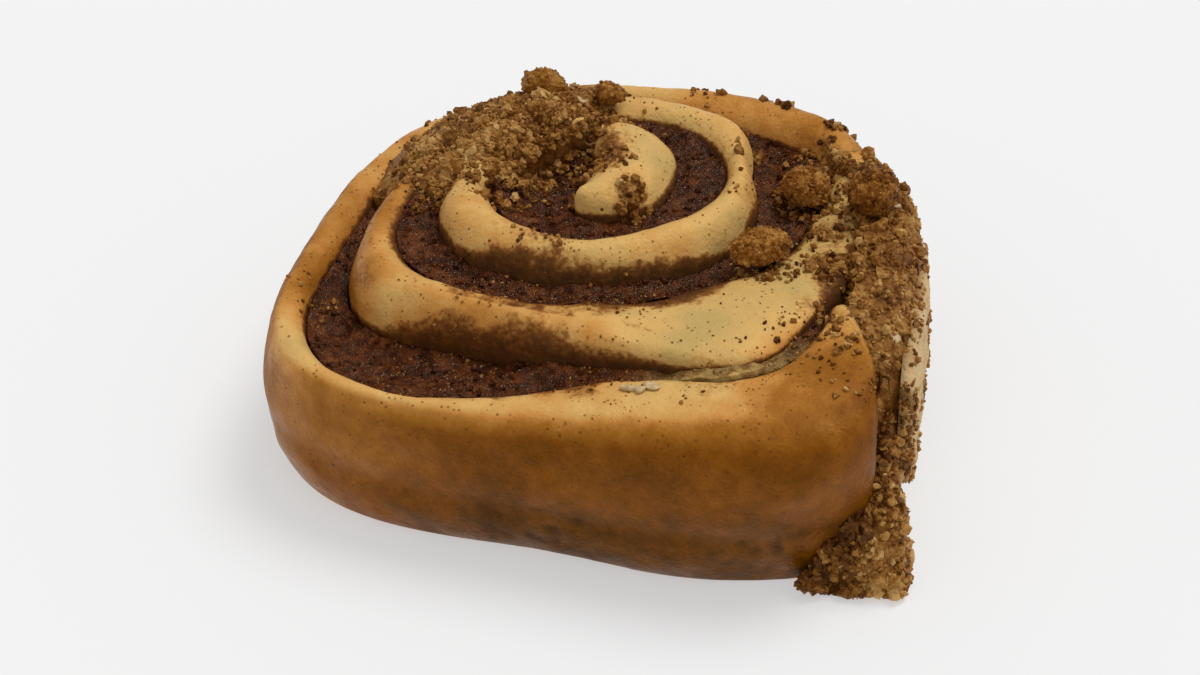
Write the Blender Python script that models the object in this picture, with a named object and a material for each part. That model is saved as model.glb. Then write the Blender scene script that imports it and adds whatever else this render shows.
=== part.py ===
"""A cinnamon roll with streusel: one strip of dough wound in about three turns, with its filling.

Distances are in millimetres and become metres where a mesh is made. A place along the strip is
given in turns, clockwise seen from above, counted from the right-hand side of the roll inwards.
"""
import math

import bmesh
import bpy
import numpy as np
from mathutils import Matrix, Vector, noise

METRE = 0.001
GAP = 0.3
BASE_CENTRE = (0.81, 0.15)

# Plan of the roll: the eye of the coil, and the rounded square that the outer wrap fills.
EYE = np.array([-10.2, 7.1])
MIDDLE = np.array([-1.7, 0.6])
TWIST = math.radians(-2.0)
REACH_LEFT = 47.8
REACH_FRONT = 45.4
REACH_BACK = 45.0
REACH_RIGHT_TAIL = 49.8
REACH_RIGHT_SIDE = 41.0
SQUARE_FRONT_RIGHT = 5.0
SQUARE_FRONT_LEFT = 3.6
SQUARE_BACK_LEFT = 2.4
SQUARE_BACK_RIGHT = 3.1
RIM_SEARCH = (15.0, 95.0)
BISECTIONS = 40

# Eight values a turn, from the right-hand side on through front, left and back.
VALUES_PER_TURN = 8
HALF_TURN = 0.5
OUTER_BAND = np.array([9.6, 19.2, 12.4, 11.2, 9.8, 11.0, 8.0, 13.5, 17.3])
GROOVE_RADIUS = np.array([32.2, 26.0, 24.9, 24.2, 19.2, 18.5, 17.5, 22.0,
                          19.3, 14.2, 11.4, 10.8, 9.2, 9.0, 10.5, 2.6,
                          1.6, 3.2, 7.6])
CREST = np.array([30.6, 28.6, 25.0, 24.2, 25.4, 27.5, 29.9, 31.9,
                  29.2, 29.8, 30.2, 30.2, 29.8, 31.0, 33.2, 33.8,
                  33.8, 33.6, 33.6, 33.6, 33.4, 34.2, 35.2, 36.2,
                  36.4, 36.0, 35.5])
FILL_LEVEL = np.array([28.2, 27.2, 22.6, 21.6, 23.6, 26.2, 28.6, 27.2,
                       27.2, 28.2, 28.4, 28.2, 28.8, 30.0, 31.4, 31.2,
                       31.2, 31.4, 31.0, 30.4, 30.0, 30.2, 30.4, 30.6,
                       30.7, 31.1, 31.4])

# Where the wraps stand apart and the filling pools: place, reach (both in turns) and added width.
GROOVE_WIDTH = 1.6
BASE_CLOSING = 0.75
POOLS = ((0.295, 0.085, 10.0), (0.925, 0.040, 9.0), (1.000, 0.060, 4.0), (1.330, 0.160, 4.2),
         (1.950, 0.120, 4.8), (2.190, 0.090, 4.6))

# Where the strip's outer side passes from the outside of the roll to the wrap that lies on it.
COVER_START = 0.99
COVER_END = 1.07

# Where two wraps lie so close that only a seam shows: place and reach in turns.
SEAM_TURN = 0.10
SEAM_REACH = 0.09
SEAM_SHARPNESS = 4.0

# Section of the dough.
BULGE_HEIGHT = 13.0
BASE_UNDERCUT = 3.6
BASE_ROUNDNESS = 2.2
SIDE_ROUNDNESS = 2.5
TOP_ROUNDNESS = 2.1
CREST_PLACE = 0.52
FOOT_BELOW_FILL = 3.0
BASE_POINTS = 4
OUTER_POINTS = 5
INNER_POINTS = 4
UNEVENNESS = 0.45
UNEVEN_SPACING = 13.0
UNEVEN_DEPTH = 6.0

# Where the tail's lower corner draws in: place and reach in turns, added undercut and height,
# and how much flatter its curve is.
CORNER_TURN = 0.078
CORNER_REACH = 0.040
CORNER_UNDERCUT = 0.6
CORNER_HEIGHT = 7.0
CORNER_SLACK = 1.0

# Where the wall's base draws in further: place and reach in turns, and added undercut.
BASE_DRAWS = ((0.212, 0.050, 2.1), (0.368, 0.025, 1.1))

# The two ends of the strip.
STATIONS_PER_TURN = 48
TAIL_TURN = 0.058
TAIL_SHEAR = 0.046
TAIL_SHEAR_END = 0.24
TAIL_NOSE = 5.0
TAIL_NOSE_CENTRE = 15.0
NOSE_ANGLES = (25.0, 50.0, 72.0)
NOSE_POWER = 0.8
TIP_START = 3.145
TIP_TURN = 3.187
TIP_STATIONS = (0.178, 0.184)
TIP_BLUNTNESS = 2.6
TIP_LEAST = 0.08
TIP_DRAW = 2.0
TIP_DROP = 3.5

# The filling.
FILL_START = 0.066
FILL_SWELL = 0.35
SHOULDER_SHARES = (0.55, 1.0)
SWELL_SHARES = (0.3, 0.7)
HUB_START = 0.005
HUB_OVERLAP = 0.018
HUB_OVERLAP_SCALE = 0.8

# Streusel. A heap covers the back left, and a bank fills the right side down to the base.
HEAP_PLACE = (-23.0, 22.6)
HEAP_HALF_LENGTH = 21.0
HEAP_HALF_WIDTH = 13.5
HEAP_ANGLE = math.radians(38.0)
HEAP_THICKNESS = 5.2
HEAP_SINK = 9.0
HEAP_EDGE_SINK = 1.8
HEAP_LUMPINESS = 1.3
HEAP_LUMP_SPACING = 5.0
HEAP_RINGS = 5
HEAP_SECTORS = 22

# Bulges and hollows of the heap's outline: bearing from its long axis, half width, and amount.
HEAP_BULGES = ((math.radians(-171.0), math.radians(20.0), 0.12),
               (math.radians(-122.0), math.radians(24.0), 0.24),
               (math.radians(-84.0), math.radians(17.0), -0.27),
               (math.radians(-38.0), math.radians(18.0), -0.15),
               (math.radians(145.0), math.radians(30.0), 0.14))
HEAP_PROFILE = 2.2

# Crumbs that stand out of the heap and the bank.
CRUMB_SEED = 11
HEAP_CRUMBS = 26
BANK_CRUMBS = 40
CRUMB_LEAST = 1.4
CRUMB_MOST = 2.6
CRUMB_STRETCH = 0.20
CRUMB_UNEVENNESS = 0.12
HEAP_CRUMB_AREA = (0.02, 0.95)
HEAP_CRUMB_RISE = 0.1
BANK_CRUMB_MARGIN = 1.5
BANK_CRUMB_SINK = 0.4
BANK_CRUMBS_ON_SIDE = 0.5
BANK_CRUMB_LEAST_RISE = 1.1

# The bank, from front to back: place along Y, inner and outer X at the base, outer X at the top, height.
BANK = ((-41.5, 35.5, 44.5, 43.0, 2.0), (-39.5, 35.5, 50.6, 48.6, 7.0), (-35.0, 37.0, 51.1, 49.6, 12.0),
        (-29.0, 38.5, 49.2, 47.8, 19.0), (-23.5, 40.0, 47.4, 47.0, 26.0), (-15.0, 36.5, 46.6, 46.2, 29.8),
        (-3.0, 33.0, 46.0, 45.6, 31.0), (12.0, 31.5, 45.2, 44.4, 31.6), (17.5, 31.2, 44.2, 42.8, 31.6),
        (23.0, 31.0, 41.8, 39.8, 31.6), (28.5, 31.0, 38.8, 36.6, 31.2), (33.0, 31.0, 36.0, 33.6, 29.6))
BANK_TOP_WIDTH = 12.5
BANK_FULL_HEIGHT = 26.5
BANK_SHOULDER = 3.2
BANK_INNER_DEPTH = 9.0
BANK_BEVEL = (3.0, 2.2)

# Heights on the bank's side as shares of its height, and how far the side has drawn in there.
BANK_TOE = 0.18
BANK_WAIST = 0.55
BANK_WAIST_SLOPE = 0.6
BANK_TOE_SWELL = 0.3
BANK_LEAST_INNER = 0.3
BANK_LEAST_SHOULDER = 0.5

# Torn crumb of dough on the right side.
FLAP_CENTRE = (-5.0, 17.0)
FLAP_HALF_LENGTH = 22.0
FLAP_HALF_HEIGHT = 10.0
FLAP_FACE = 48.0
FLAP_SLOPE = 0.08
FLAP_LEAN = 0.5
FLAP_SQUARENESS = 3.2
FLAP_SECTORS = 24
FLAP_RAGGEDNESS = 0.16
FLAP_RAGGED_SPACING = 3.1
FLAP_BUMPS = 1.6
FLAP_BUMP_SPACING = 5.0

# Rings of the torn crumb from its back edge to its face: reach as a share, and depth below the face.
FLAP_RINGS = ((1.00, 3.2), (1.00, 1.6), (0.85, 0.4), (0.55, 0.0), (0.25, 0.0))

# Large pieces of streusel: name, centre, half sizes, turn about Z in degrees.
LUMPS = (("lump_back", (-19.2, 28.8, 35.6), (4.0, 3.0, 2.7), 20.0),
         ("lump_back_small", (-8.2, 29.0, 35.6), (2.8, 2.2, 1.9), -10.0),
         ("lump_front", (21.8, -2.6, 31.4), (4.6, 3.2, 2.6), 30.0),
         ("lump_right", (36.4, 12.6, 33.6), (4.0, 4.0, 3.5), 10.0),
         ("lump_pocket", (25.6, 17.0, 30.4), (4.0, 3.4, 2.7), -30.0))
LUMP_UNEVENNESS = 0.16
LUMP_WAVES = 1.7

MERGE_DISTANCE = 0.0005

DOUGH_COLOUR = (0.62, 0.36, 0.13)
FILLING_COLOUR = (0.10, 0.04, 0.025)
STREUSEL_COLOUR = (0.30, 0.15, 0.06)
CRUMB_COLOUR = (0.70, 0.52, 0.28)
LUMP_COLOUR = (0.24, 0.12, 0.05)
DOUGH_ROUGHNESS = 0.62
FILLING_ROUGHNESS = 0.35
STREUSEL_ROUGHNESS = 0.8
CRUMB_ROUGHNESS = 0.85
LUMP_SHEEN = 0.6


def smooth_step(value, low, high):
    """Rise smoothly from 0 at low to 1 at high."""
    share = np.clip((np.asarray(value, float) - low) / (high - low), 0.0, 1.0)
    return share * share * (3.0 - 2.0 * share)


def along(values, turn):
    """Smooth curve through values that lie an equal share of a turn apart."""
    last = len(values) - 1
    place = np.clip(np.asarray(turn, float) * VALUES_PER_TURN, 0.0, last)
    first = np.minimum(place.astype(int), last - 1)
    part = place - first
    before, here, there, after = (values[np.clip(first + step, 0, last)] for step in (-1, 0, 1, 2))
    return here + 0.5 * part * (there - before + part * (
        2.0 * before - 5.0 * here + 4.0 * there - after
        + part * (3.0 * (here - there) + after - before)))


def heading(turn):
    """Direction from the eye of the coil, as its two plan components."""
    angle = -2.0 * math.pi * np.asarray(turn, float)
    return np.cos(angle), np.sin(angle)


def rim(turn):
    """Distance from the eye to the outer face of the roll."""
    turn = np.asarray(turn, float)
    east, north = heading(turn)
    near = np.full(np.shape(east), RIM_SEARCH[0])
    far = np.full(np.shape(east), RIM_SEARCH[1])
    right = np.where(turn < HALF_TURN, REACH_RIGHT_TAIL, REACH_RIGHT_SIDE)
    for _ in range(BISECTIONS):
        radius = (near + far) / 2.0
        dx = EYE[0] + radius * east - MIDDLE[0]
        dy = EYE[1] + radius * north - MIDDLE[1]
        x = dx * math.cos(TWIST) + dy * math.sin(TWIST)
        y = dy * math.cos(TWIST) - dx * math.sin(TWIST)
        front = np.where(x > 0, SQUARE_FRONT_RIGHT, SQUARE_FRONT_LEFT)
        back = np.where(x > 0, SQUARE_BACK_RIGHT, SQUARE_BACK_LEFT)
        power = np.where(y > 0, back, front)
        wide = np.abs(x) / np.where(x > 0, right, REACH_LEFT)
        deep = np.abs(y) / np.where(y > 0, REACH_BACK, REACH_FRONT)
        inside = wide ** power + deep ** power < 1.0
        near = np.where(inside, radius, near)
        far = np.where(inside, far, radius)
    return radius


def groove(turn):
    """Distance from the eye to the middle of the groove inside the wrap at this turn."""
    turn = np.asarray(turn, float)
    first = np.minimum(turn, 1.0)
    return np.where(turn < 1.0, rim(first) - along(OUTER_BAND, first),
                    along(GROOVE_RADIUS, np.maximum(turn - 1.0, 0.0)))


def half_gap(turn):
    """Half the distance between the wraps on the two sides of the groove at this turn."""
    added = sum(extra * np.exp(-((turn - place) / reach) ** 2) for place, reach, extra in POOLS)
    return (GROOVE_WIDTH + added) / 2.0


def base_spread(turn):
    """How far each wrap comes back towards its neighbour at the base, under a wide groove."""
    return BASE_CLOSING * (half_gap(turn) - GROOVE_WIDTH / 2.0)


def roundness(turn):
    """Power of the shoulders beside the groove at this turn, high where only a seam shows."""
    return TOP_ROUNDNESS + SEAM_SHARPNESS * np.exp(-((turn - SEAM_TURN) / SEAM_REACH) ** 2)


def covered(turn):
    """0 where the strip's outer side is the outside of the roll, 1 where a wrap lies on it."""
    return smooth_step(turn, COVER_START, COVER_END)


def outer_bound(turn):
    """Distance from the eye to the groove or the outside that bounds the strip."""
    before = np.maximum(turn - 1.0, 0.0)
    share = covered(turn)
    return rim(np.minimum(turn, 1.0)) * (1.0 - share) + (groove(before) - half_gap(before)) * share


def tip_share(turn):
    """What is left of the strip's thickness near its inner end, from 1 down to 0."""
    share = np.clip((turn - TIP_START) / (TIP_TURN - TIP_START), 0.0, 1.0)
    return (1.0 - share ** TIP_BLUNTNESS) ** (1.0 / TIP_BLUNTNESS)


def outer_side(turn):
    """Distance from the eye to the outer side of the strip, which draws in at its inner end."""
    return outer_bound(turn) - TIP_DRAW * (1.0 - tip_share(turn))


def inner_side(turn):
    """Distance from the eye to the inner side of the strip, which closes at its inner end."""
    width = outer_bound(turn) - groove(turn) - half_gap(turn)
    return outer_side(turn) - width * np.maximum(tip_share(turn), TIP_LEAST)


def crest_height(turn):
    """Height of the strip's top, which falls away at its inner end."""
    return along(CREST, turn) - TIP_DROP * (1.0 - tip_share(turn))


def corner(turn):
    """1 at the tail's lower corner, fading to 0 away from it."""
    return np.exp(-((turn - CORNER_TURN) / CORNER_REACH) ** 2)


def base_draw(turn):
    """How much further the wall's base draws in at this turn."""
    return sum(extra * np.exp(-((turn - place) / reach) ** 2) for place, reach, extra in BASE_DRAWS)


def outer_foot(turn):
    """Height where the outer side starts to round over."""
    share = covered(turn)
    inside = along(FILL_LEVEL, np.maximum(turn - 1.0, 0.0)) - FOOT_BELOW_FILL
    return inside * share + (BULGE_HEIGHT + CORNER_HEIGHT * corner(turn)) * (1.0 - share)


def inner_foot(turn):
    """Height where the inner side starts to round over."""
    return along(FILL_LEVEL, turn) - FOOT_BELOW_FILL


def outer_roundness(turn):
    """Power of the strip's outer shoulder."""
    share = covered(turn)
    return SIDE_ROUNDNESS * (1.0 - share) + roundness(np.maximum(turn - 1.0, 0.0)) * share


def quarter(count, power):
    """Points on a quarter of a rounded square, from its side to its top, as inset and rise."""
    angle = np.linspace(0.0, math.pi / 2.0, count)
    return 1.0 - np.abs(np.cos(angle)) ** (2.0 / power), np.sin(angle) ** (2.0 / power)


def shoulder_inset(height, foot, crest, power):
    """How far a shoulder has drawn in at a height, as a share of its width."""
    rise = np.clip((height - foot) / (crest - foot), 0.0, 1.0)
    return 1.0 - (1.0 - rise ** power) ** (1.0 / power)


def dough_profile(turn, width):
    """The strip's section from its outer base over the crest to its inner base: inset and height."""
    crest = crest_height(turn)
    low = outer_foot(turn)
    share = covered(turn)
    undercut = BASE_UNDERCUT + CORNER_UNDERCUT * corner(turn) + base_draw(turn)
    undercut = undercut * (1.0 - share) - base_spread(np.maximum(turn - 1.0, 0.0)) * share
    points = []
    inset, rise = quarter(BASE_POINTS, BASE_ROUNDNESS - CORNER_SLACK * corner(turn))
    for back, up in zip(inset[::-1], rise[::-1]):
        points.append((undercut * back, low * (1.0 - up)))
    inset, rise = quarter(OUTER_POINTS + 1, outer_roundness(turn))
    for back, up in zip(inset[1:], rise[1:]):
        points.append((CREST_PLACE * width * back, low + (crest - low) * up))
    low = inner_foot(turn)
    inset, rise = quarter(INNER_POINTS + 1, roundness(turn))
    for back, up in zip(inset[-2::-1], rise[-2::-1]):
        points.append((width - (1.0 - CREST_PLACE) * width * back, low + (crest - low) * up))
    points.append((width + base_spread(turn), 0.0))
    return np.array(points)


def uneven(points):
    """Move a section's points up and down a little, most at the crest and not at all at its sides."""
    top = points[:, 2].max()
    low = top - UNEVEN_DEPTH
    weight = np.clip((points[:, 2] - low) / (top - low), 0.0, 1.0) ** 2
    for point, share in zip(points, weight):
        point[2] += UNEVENNESS * share * noise.noise(Vector(point) / UNEVEN_SPACING)
    return points


def dough_section(turn):
    """Points of the strip's section at a place in the roll."""
    lean = TAIL_SHEAR * (1.0 - smooth_step(turn, TAIL_TURN, TAIL_SHEAR_END))
    outer = outer_side(turn + lean)
    width = outer - inner_side(turn)
    profile = dough_profile(turn, width)
    east, north = heading(turn + lean * (1.0 - profile[:, 0] / width))
    radius = outer - profile[:, 0]
    points = np.stack([EYE[0] + radius * east, EYE[1] + radius * north, profile[:, 1]], 1)
    return uneven(points)


def stations(start, end):
    """Places along the strip, on one grid for all the wraps, with the two ends added."""
    first = math.floor(start * STATIONS_PER_TURN) + 1
    last = math.ceil(end * STATIONS_PER_TURN) - 1
    inner = [step / STATIONS_PER_TURN for step in range(first, last + 1)]
    extra = [lap + place for lap in range(math.ceil(end)) for place in TIP_STATIONS]
    inner += [place for place in extra if start < place < end]
    return [start] + sorted(inner) + [end]


def tail_nose(section):
    """Rings that round off the strip's outer end, from the blunt tip to the first section."""
    centre = section.mean(axis=0)
    centre[2] = TAIL_NOSE_CENTRE
    across = section[-1] - section[0]
    ahead = np.array([-across[1], across[0], 0.0]) / math.hypot(across[0], across[1])
    rings = []
    for angle in NOSE_ANGLES:
        scale = math.cos(math.radians(angle)) ** NOSE_POWER
        advance = TAIL_NOSE * math.sin(math.radians(angle))
        rings.append(centre + (section - centre) * scale + ahead * advance)
    return rings[::-1]


def in_metres(point):
    """A point in metres, with the middle of the roll's base box at the origin."""
    return ((point[0] - BASE_CENTRE[0]) * METRE, (point[1] - BASE_CENTRE[1]) * METRE, point[2] * METRE)


def loft(name, rings, colour, roughness_value):
    """A closed solid through rings that all have the same number of points."""
    count = len(rings[0])
    points = [in_metres(point) for ring in rings for point in ring]
    faces = []
    for ring in range(len(rings) - 1):
        for step in range(count):
            after = (step + 1) % count
            here = ring * count
            faces.append((here + step, here + after, here + count + after, here + count + step))
    faces.append(tuple(range(count))[::-1])
    faces.append(tuple(range((len(rings) - 1) * count, len(rings) * count)))
    return make_solid(name, points, faces, colour, roughness_value)


def make_solid(name, points, faces, colour, roughness_value):
    """A named object from points and faces, with its faces out and a material of its own."""
    mesh = bpy.data.meshes.new(name)
    mesh.from_pydata(points, [], faces)
    work = bmesh.new()
    work.from_mesh(mesh)
    bmesh.ops.triangulate(work, faces=work.faces[:])
    bmesh.ops.recalc_face_normals(work, faces=work.faces[:])
    work.to_mesh(mesh)
    work.free()
    mesh.shade_smooth()
    material = bpy.data.materials.new(name)
    material.use_nodes = True
    shader = material.node_tree.nodes["Principled BSDF"]
    shader.inputs["Base Color"].default_value = (*colour, 1.0)
    shader.inputs["Roughness"].default_value = roughness_value
    shader.inputs["Metallic"].default_value = 0.0
    mesh.materials.append(material)
    solid = bpy.data.objects.new(name, mesh)
    bpy.context.scene.collection.objects.link(solid)
    return solid


def apply_modifiers(solid):
    """Keep the mesh as its modifiers make it."""
    graph = bpy.context.evaluated_depsgraph_get()
    graph.update()
    mesh = bpy.data.meshes.new_from_object(solid.evaluated_get(graph))
    solid.modifiers.clear()
    solid.data = mesh


def keep_largest(solid):
    """Drop the loose scraps that a cut leaves."""
    work = bmesh.new()
    work.from_mesh(solid.data)
    bmesh.ops.remove_doubles(work, verts=work.verts[:], dist=MERGE_DISTANCE * METRE)
    work.verts.ensure_lookup_table()
    bodies = []
    seen = set()
    for start in work.verts:
        if start in seen:
            continue
        body = {start}
        queue = [start]
        while queue:
            for edge in queue.pop().link_edges:
                for vert in edge.verts:
                    if vert not in body:
                        body.add(vert)
                        queue.append(vert)
        seen |= body
        bodies.append(body)
    largest = max(bodies, key=len)
    loose = [vert for vert in work.verts if vert not in largest]
    bmesh.ops.delete(work, geom=loose, context="VERTS")
    bmesh.ops.triangulate(work, faces=work.faces[:])
    work.to_mesh(solid.data)
    work.free()


def fuse(solid, pieces):
    """Join pieces to a solid by one union, and remove them."""
    group = bpy.data.collections.new(solid.name + "_pieces")
    bpy.context.scene.collection.children.link(group)
    for piece in pieces:
        group.objects.link(piece)
    union = solid.modifiers.new("union", "BOOLEAN")
    union.operation = "UNION"
    union.operand_type = "COLLECTION"
    union.collection = group
    union.solver = "MANIFOLD"
    apply_modifiers(solid)
    for piece in pieces:
        bpy.data.objects.remove(piece)
    bpy.data.collections.remove(group)


def swollen(solid, distance):
    """A copy of a solid that stands out from it by a distance, used as a cutter."""
    copy = solid.copy()
    copy.data = solid.data.copy()
    copy.name = solid.name + "_cutter"
    work = bmesh.new()
    work.from_mesh(copy.data)
    work.normal_update()
    moves = [vert.normal * distance * METRE * min(vert.calc_shell_factor(), 2.0) for vert in work.verts]
    for vert, move in zip(work.verts, moves):
        vert.co += move
    work.to_mesh(copy.data)
    work.free()
    copy.hide_render = True
    copy.display_type = "WIRE"
    bpy.context.scene.collection.objects.link(copy)
    return copy


def fit_against(solid, neighbours):
    """Cut a solid back so that it keeps its gap to each neighbour."""
    for neighbour in neighbours:
        cutter = swollen(neighbour, GAP)
        cut = solid.modifiers.new("fit", "BOOLEAN")
        cut.operation = "DIFFERENCE"
        cut.object = cutter
        cut.solver = "MANIFOLD"
        apply_modifiers(solid)
        bpy.data.objects.remove(cutter)
    keep_largest(solid)


def make_dough():
    """The strip of dough, from its rounded tail to its inner tip."""
    sections = [dough_section(turn) for turn in stations(TAIL_TURN, TIP_TURN)]
    return loft("dough", tail_nose(sections[0]) + sections, DOUGH_COLOUR, DOUGH_ROUGHNESS)


def filling_section(turn):
    """Section of the filling between the wrap at this turn and the next one inwards."""
    top = along(FILL_LEVEL, turn)
    outer = inner_side(turn) - GAP
    inner = outer_side(turn + 1.0) + GAP
    width = outer_side(turn) - inner_side(turn)
    next_width = outer_side(turn + 1.0) - inner_side(turn + 1.0)
    low = inner_foot(turn)
    next_low = outer_foot(turn + 1.0)
    points = [(outer - base_spread(turn), 0.0), (outer, low)]
    far_side = [(inner + base_spread(turn) * covered(turn + 1.0), 0.0), (inner, next_low)]
    for share in SHOULDER_SHARES:
        height = low + (top - low) * share
        inset = shoulder_inset(height, low, crest_height(turn), roundness(turn))
        points.append((outer + (1.0 - CREST_PLACE) * width * inset, height))
        height = next_low + (top - next_low) * share
        inset = shoulder_inset(height, next_low, crest_height(turn + 1.0), outer_roundness(turn + 1.0))
        far_side.append((inner - CREST_PLACE * next_width * inset, height))
    edge, far_edge = points[-1][0], far_side[-1][0]
    for share in SWELL_SHARES:
        points.append((edge + (far_edge - edge) * share, top + FILL_SWELL * math.sin(math.pi * share)))
    points += far_side[::-1]
    east, north = heading(turn)
    return np.array([(EYE[0] + radius * east, EYE[1] + radius * north, height)
                     for radius, height in points])


def make_hub():
    """The filling in the eye of the coil, out to the innermost wrap."""
    end = TIP_TURN + HUB_START
    rings = [[], [], []]
    for turn in stations(end - 1.0, end):
        reach = inner_side(turn) - GAP
        foot = inner_foot(turn)
        places = ((reach, along(FILL_LEVEL, turn)), (reach, foot), (reach - base_spread(turn), 0.0))
        east, north = heading(turn)
        for ring, (radius, height) in zip(rings, places):
            ring.append((EYE[0] + radius * east, EYE[1] + radius * north, height))
    return loft("hub", rings, FILLING_COLOUR, FILLING_ROUGHNESS)


def make_filling():
    """The layer of filling, which runs through the roll from top to base and ends in the eye."""
    sections = [filling_section(turn) for turn in stations(FILL_START, TIP_TURN - 1.0)[:-1]]
    inside = filling_section(TIP_TURN - 1.0 + HUB_OVERLAP)
    centre = inside.mean(axis=0)
    sections.append(centre + (inside - centre) * HUB_OVERLAP_SCALE)
    strip = loft("filling", sections, FILLING_COLOUR, FILLING_ROUGHNESS)
    fuse(strip, [make_hub()])
    keep_largest(strip)
    return strip


def top_height(x, y):
    """Height of the roll's top, smoothed over the grooves."""
    bearing = (-math.atan2(y - EYE[1], x - EYE[0]) / (2.0 * math.pi)) % 1.0
    distance = math.hypot(x - EYE[0], y - EYE[1])
    turns = np.array([bearing + lap for lap in (3, 2, 1, 0)])
    turns = turns[(turns > TAIL_TURN) & (turns < TIP_TURN)]
    crests = [float(outer_side(turn) + (inner_side(turn) - outer_side(turn)) * CREST_PLACE)
              for turn in turns]
    return float(np.interp(distance, crests, [float(crest_height(turn)) for turn in turns]))


def make_crumb(centre, size, random):
    """A small rough piece of streusel."""
    work = bmesh.new()
    bmesh.ops.create_icosphere(work, subdivisions=1, radius=1.0)
    stretch = size * random.uniform(1.0 - CRUMB_STRETCH, 1.0 + CRUMB_STRETCH, 3)
    spin = Matrix.Rotation(random.uniform(0.0, math.pi), 3, random.uniform(-1.0, 1.0, 3))
    for vert in work.verts:
        rough = random.uniform(1.0 - CRUMB_UNEVENNESS, 1.0 + CRUMB_UNEVENNESS)
        moved = spin @ Vector(vert.co * Vector(stretch)) * rough
        vert.co = in_metres(moved + Vector(centre))
    mesh = bpy.data.meshes.new("crumb")
    work.to_mesh(mesh)
    work.free()
    crumb = bpy.data.objects.new("crumb", mesh)
    return crumb


def heap_outline(angle):
    """Reach of the heap in a direction, as a share of its half sizes."""
    return 1.0 + sum(amount * math.exp(2.0 * (math.cos(angle - place) - 1.0) / width ** 2)
                     for place, width, amount in HEAP_BULGES)


def heap_point(angle, share):
    """Place in plan of a point of the heap."""
    reach = heap_outline(angle) * share
    forward = HEAP_HALF_LENGTH * reach * math.cos(angle)
    sideways = HEAP_HALF_WIDTH * reach * math.sin(angle)
    x = HEAP_PLACE[0] + forward * math.cos(HEAP_ANGLE) - sideways * math.sin(HEAP_ANGLE)
    y = HEAP_PLACE[1] + forward * math.sin(HEAP_ANGLE) + sideways * math.cos(HEAP_ANGLE)
    return x, y


def heap_height(x, y, share):
    """Height of the heap's top."""
    lump = HEAP_LUMPINESS * noise.noise(Vector((x, y, 0.0)) / HEAP_LUMP_SPACING)
    return top_height(x, y) + HEAP_THICKNESS * (1.0 - share ** HEAP_PROFILE) + lump - HEAP_EDGE_SINK


def make_heap(neighbours):
    """The streusel heap on the back left, with its larger crumbs."""
    rings = []
    for ring in range(HEAP_RINGS, 0, -1):
        share = ring / HEAP_RINGS
        angles = [2.0 * math.pi * step / HEAP_SECTORS for step in range(HEAP_SECTORS)]
        places = [heap_point(angle, share) for angle in angles]
        if ring == HEAP_RINGS:
            rings.append([(x, y, top_height(x, y) - HEAP_SINK) for x, y in places])
        rings.append([(x, y, heap_height(x, y, share)) for x, y in places])
    heap = loft("streusel_heap", rings, STREUSEL_COLOUR, STREUSEL_ROUGHNESS)
    random = np.random.default_rng(CRUMB_SEED)
    crumbs = []
    for _ in range(HEAP_CRUMBS):
        angle = random.uniform(0.0, 2.0 * math.pi)
        share = math.sqrt(random.uniform(*HEAP_CRUMB_AREA))
        x, y = heap_point(angle, share)
        size = random.uniform(CRUMB_LEAST, CRUMB_MOST)
        z = heap_height(x, y, share) + HEAP_CRUMB_RISE * size
        crumbs.append(make_crumb((x, y, z), size, random))
    fuse(heap, crumbs)
    fit_against(heap, neighbours)
    return heap


def bank_ring(y, inner, outer, top_outer, height):
    """Section of the bank across X."""
    waist = outer + (top_outer - outer) * BANK_WAIST_SLOPE
    cover = min(inner, top_outer - BANK_TOP_WIDTH) if height > BANK_FULL_HEIGHT else inner
    low = max(height - BANK_INNER_DEPTH, height * BANK_LEAST_INNER)
    shoulder = max(height - BANK_SHOULDER, height * BANK_LEAST_SHOULDER)
    inner_bevel, outer_bevel = BANK_BEVEL
    return [(inner, y, 0.0), (outer, y, 0.0), (outer + BANK_TOE_SWELL, y, height * BANK_TOE),
            (waist, y, height * BANK_WAIST), (top_outer, y, shoulder),
            (top_outer - outer_bevel, y, height), (cover + inner_bevel, y, height), (cover, y, low)]


def make_bank(neighbours):
    """The bank of streusel on the right side, from the top down to the base corner."""
    rings = [bank_ring(*row) for row in BANK]
    bank = loft("streusel_bank", rings, STREUSEL_COLOUR, STREUSEL_ROUGHNESS)
    random = np.random.default_rng(CRUMB_SEED + 1)
    rows = np.array(BANK)
    crumbs = []
    for _ in range(BANK_CRUMBS):
        y = random.uniform(rows[0, 0] + BANK_CRUMB_MARGIN, rows[-1, 0] - BANK_CRUMB_MARGIN)
        inner, outer, top_outer, height = (np.interp(y, rows[:, 0], rows[:, column])
                                           for column in (1, 2, 3, 4))
        size = random.uniform(CRUMB_LEAST, CRUMB_MOST)
        if random.uniform() < BANK_CRUMBS_ON_SIDE:
            z = random.uniform(size, max(height - size, BANK_CRUMB_LEAST_RISE * size))
            x = outer + (top_outer - outer) * z / height - BANK_CRUMB_SINK
        else:
            inner_bevel, outer_bevel = BANK_BEVEL
            least = max(inner, top_outer - BANK_TOP_WIDTH + inner_bevel)
            x = random.uniform(least, top_outer - outer_bevel)
            z = height
        crumbs.append(make_crumb((x, y, z), size, random))
    fuse(bank, crumbs)
    fit_against(bank, neighbours)
    return bank


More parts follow.
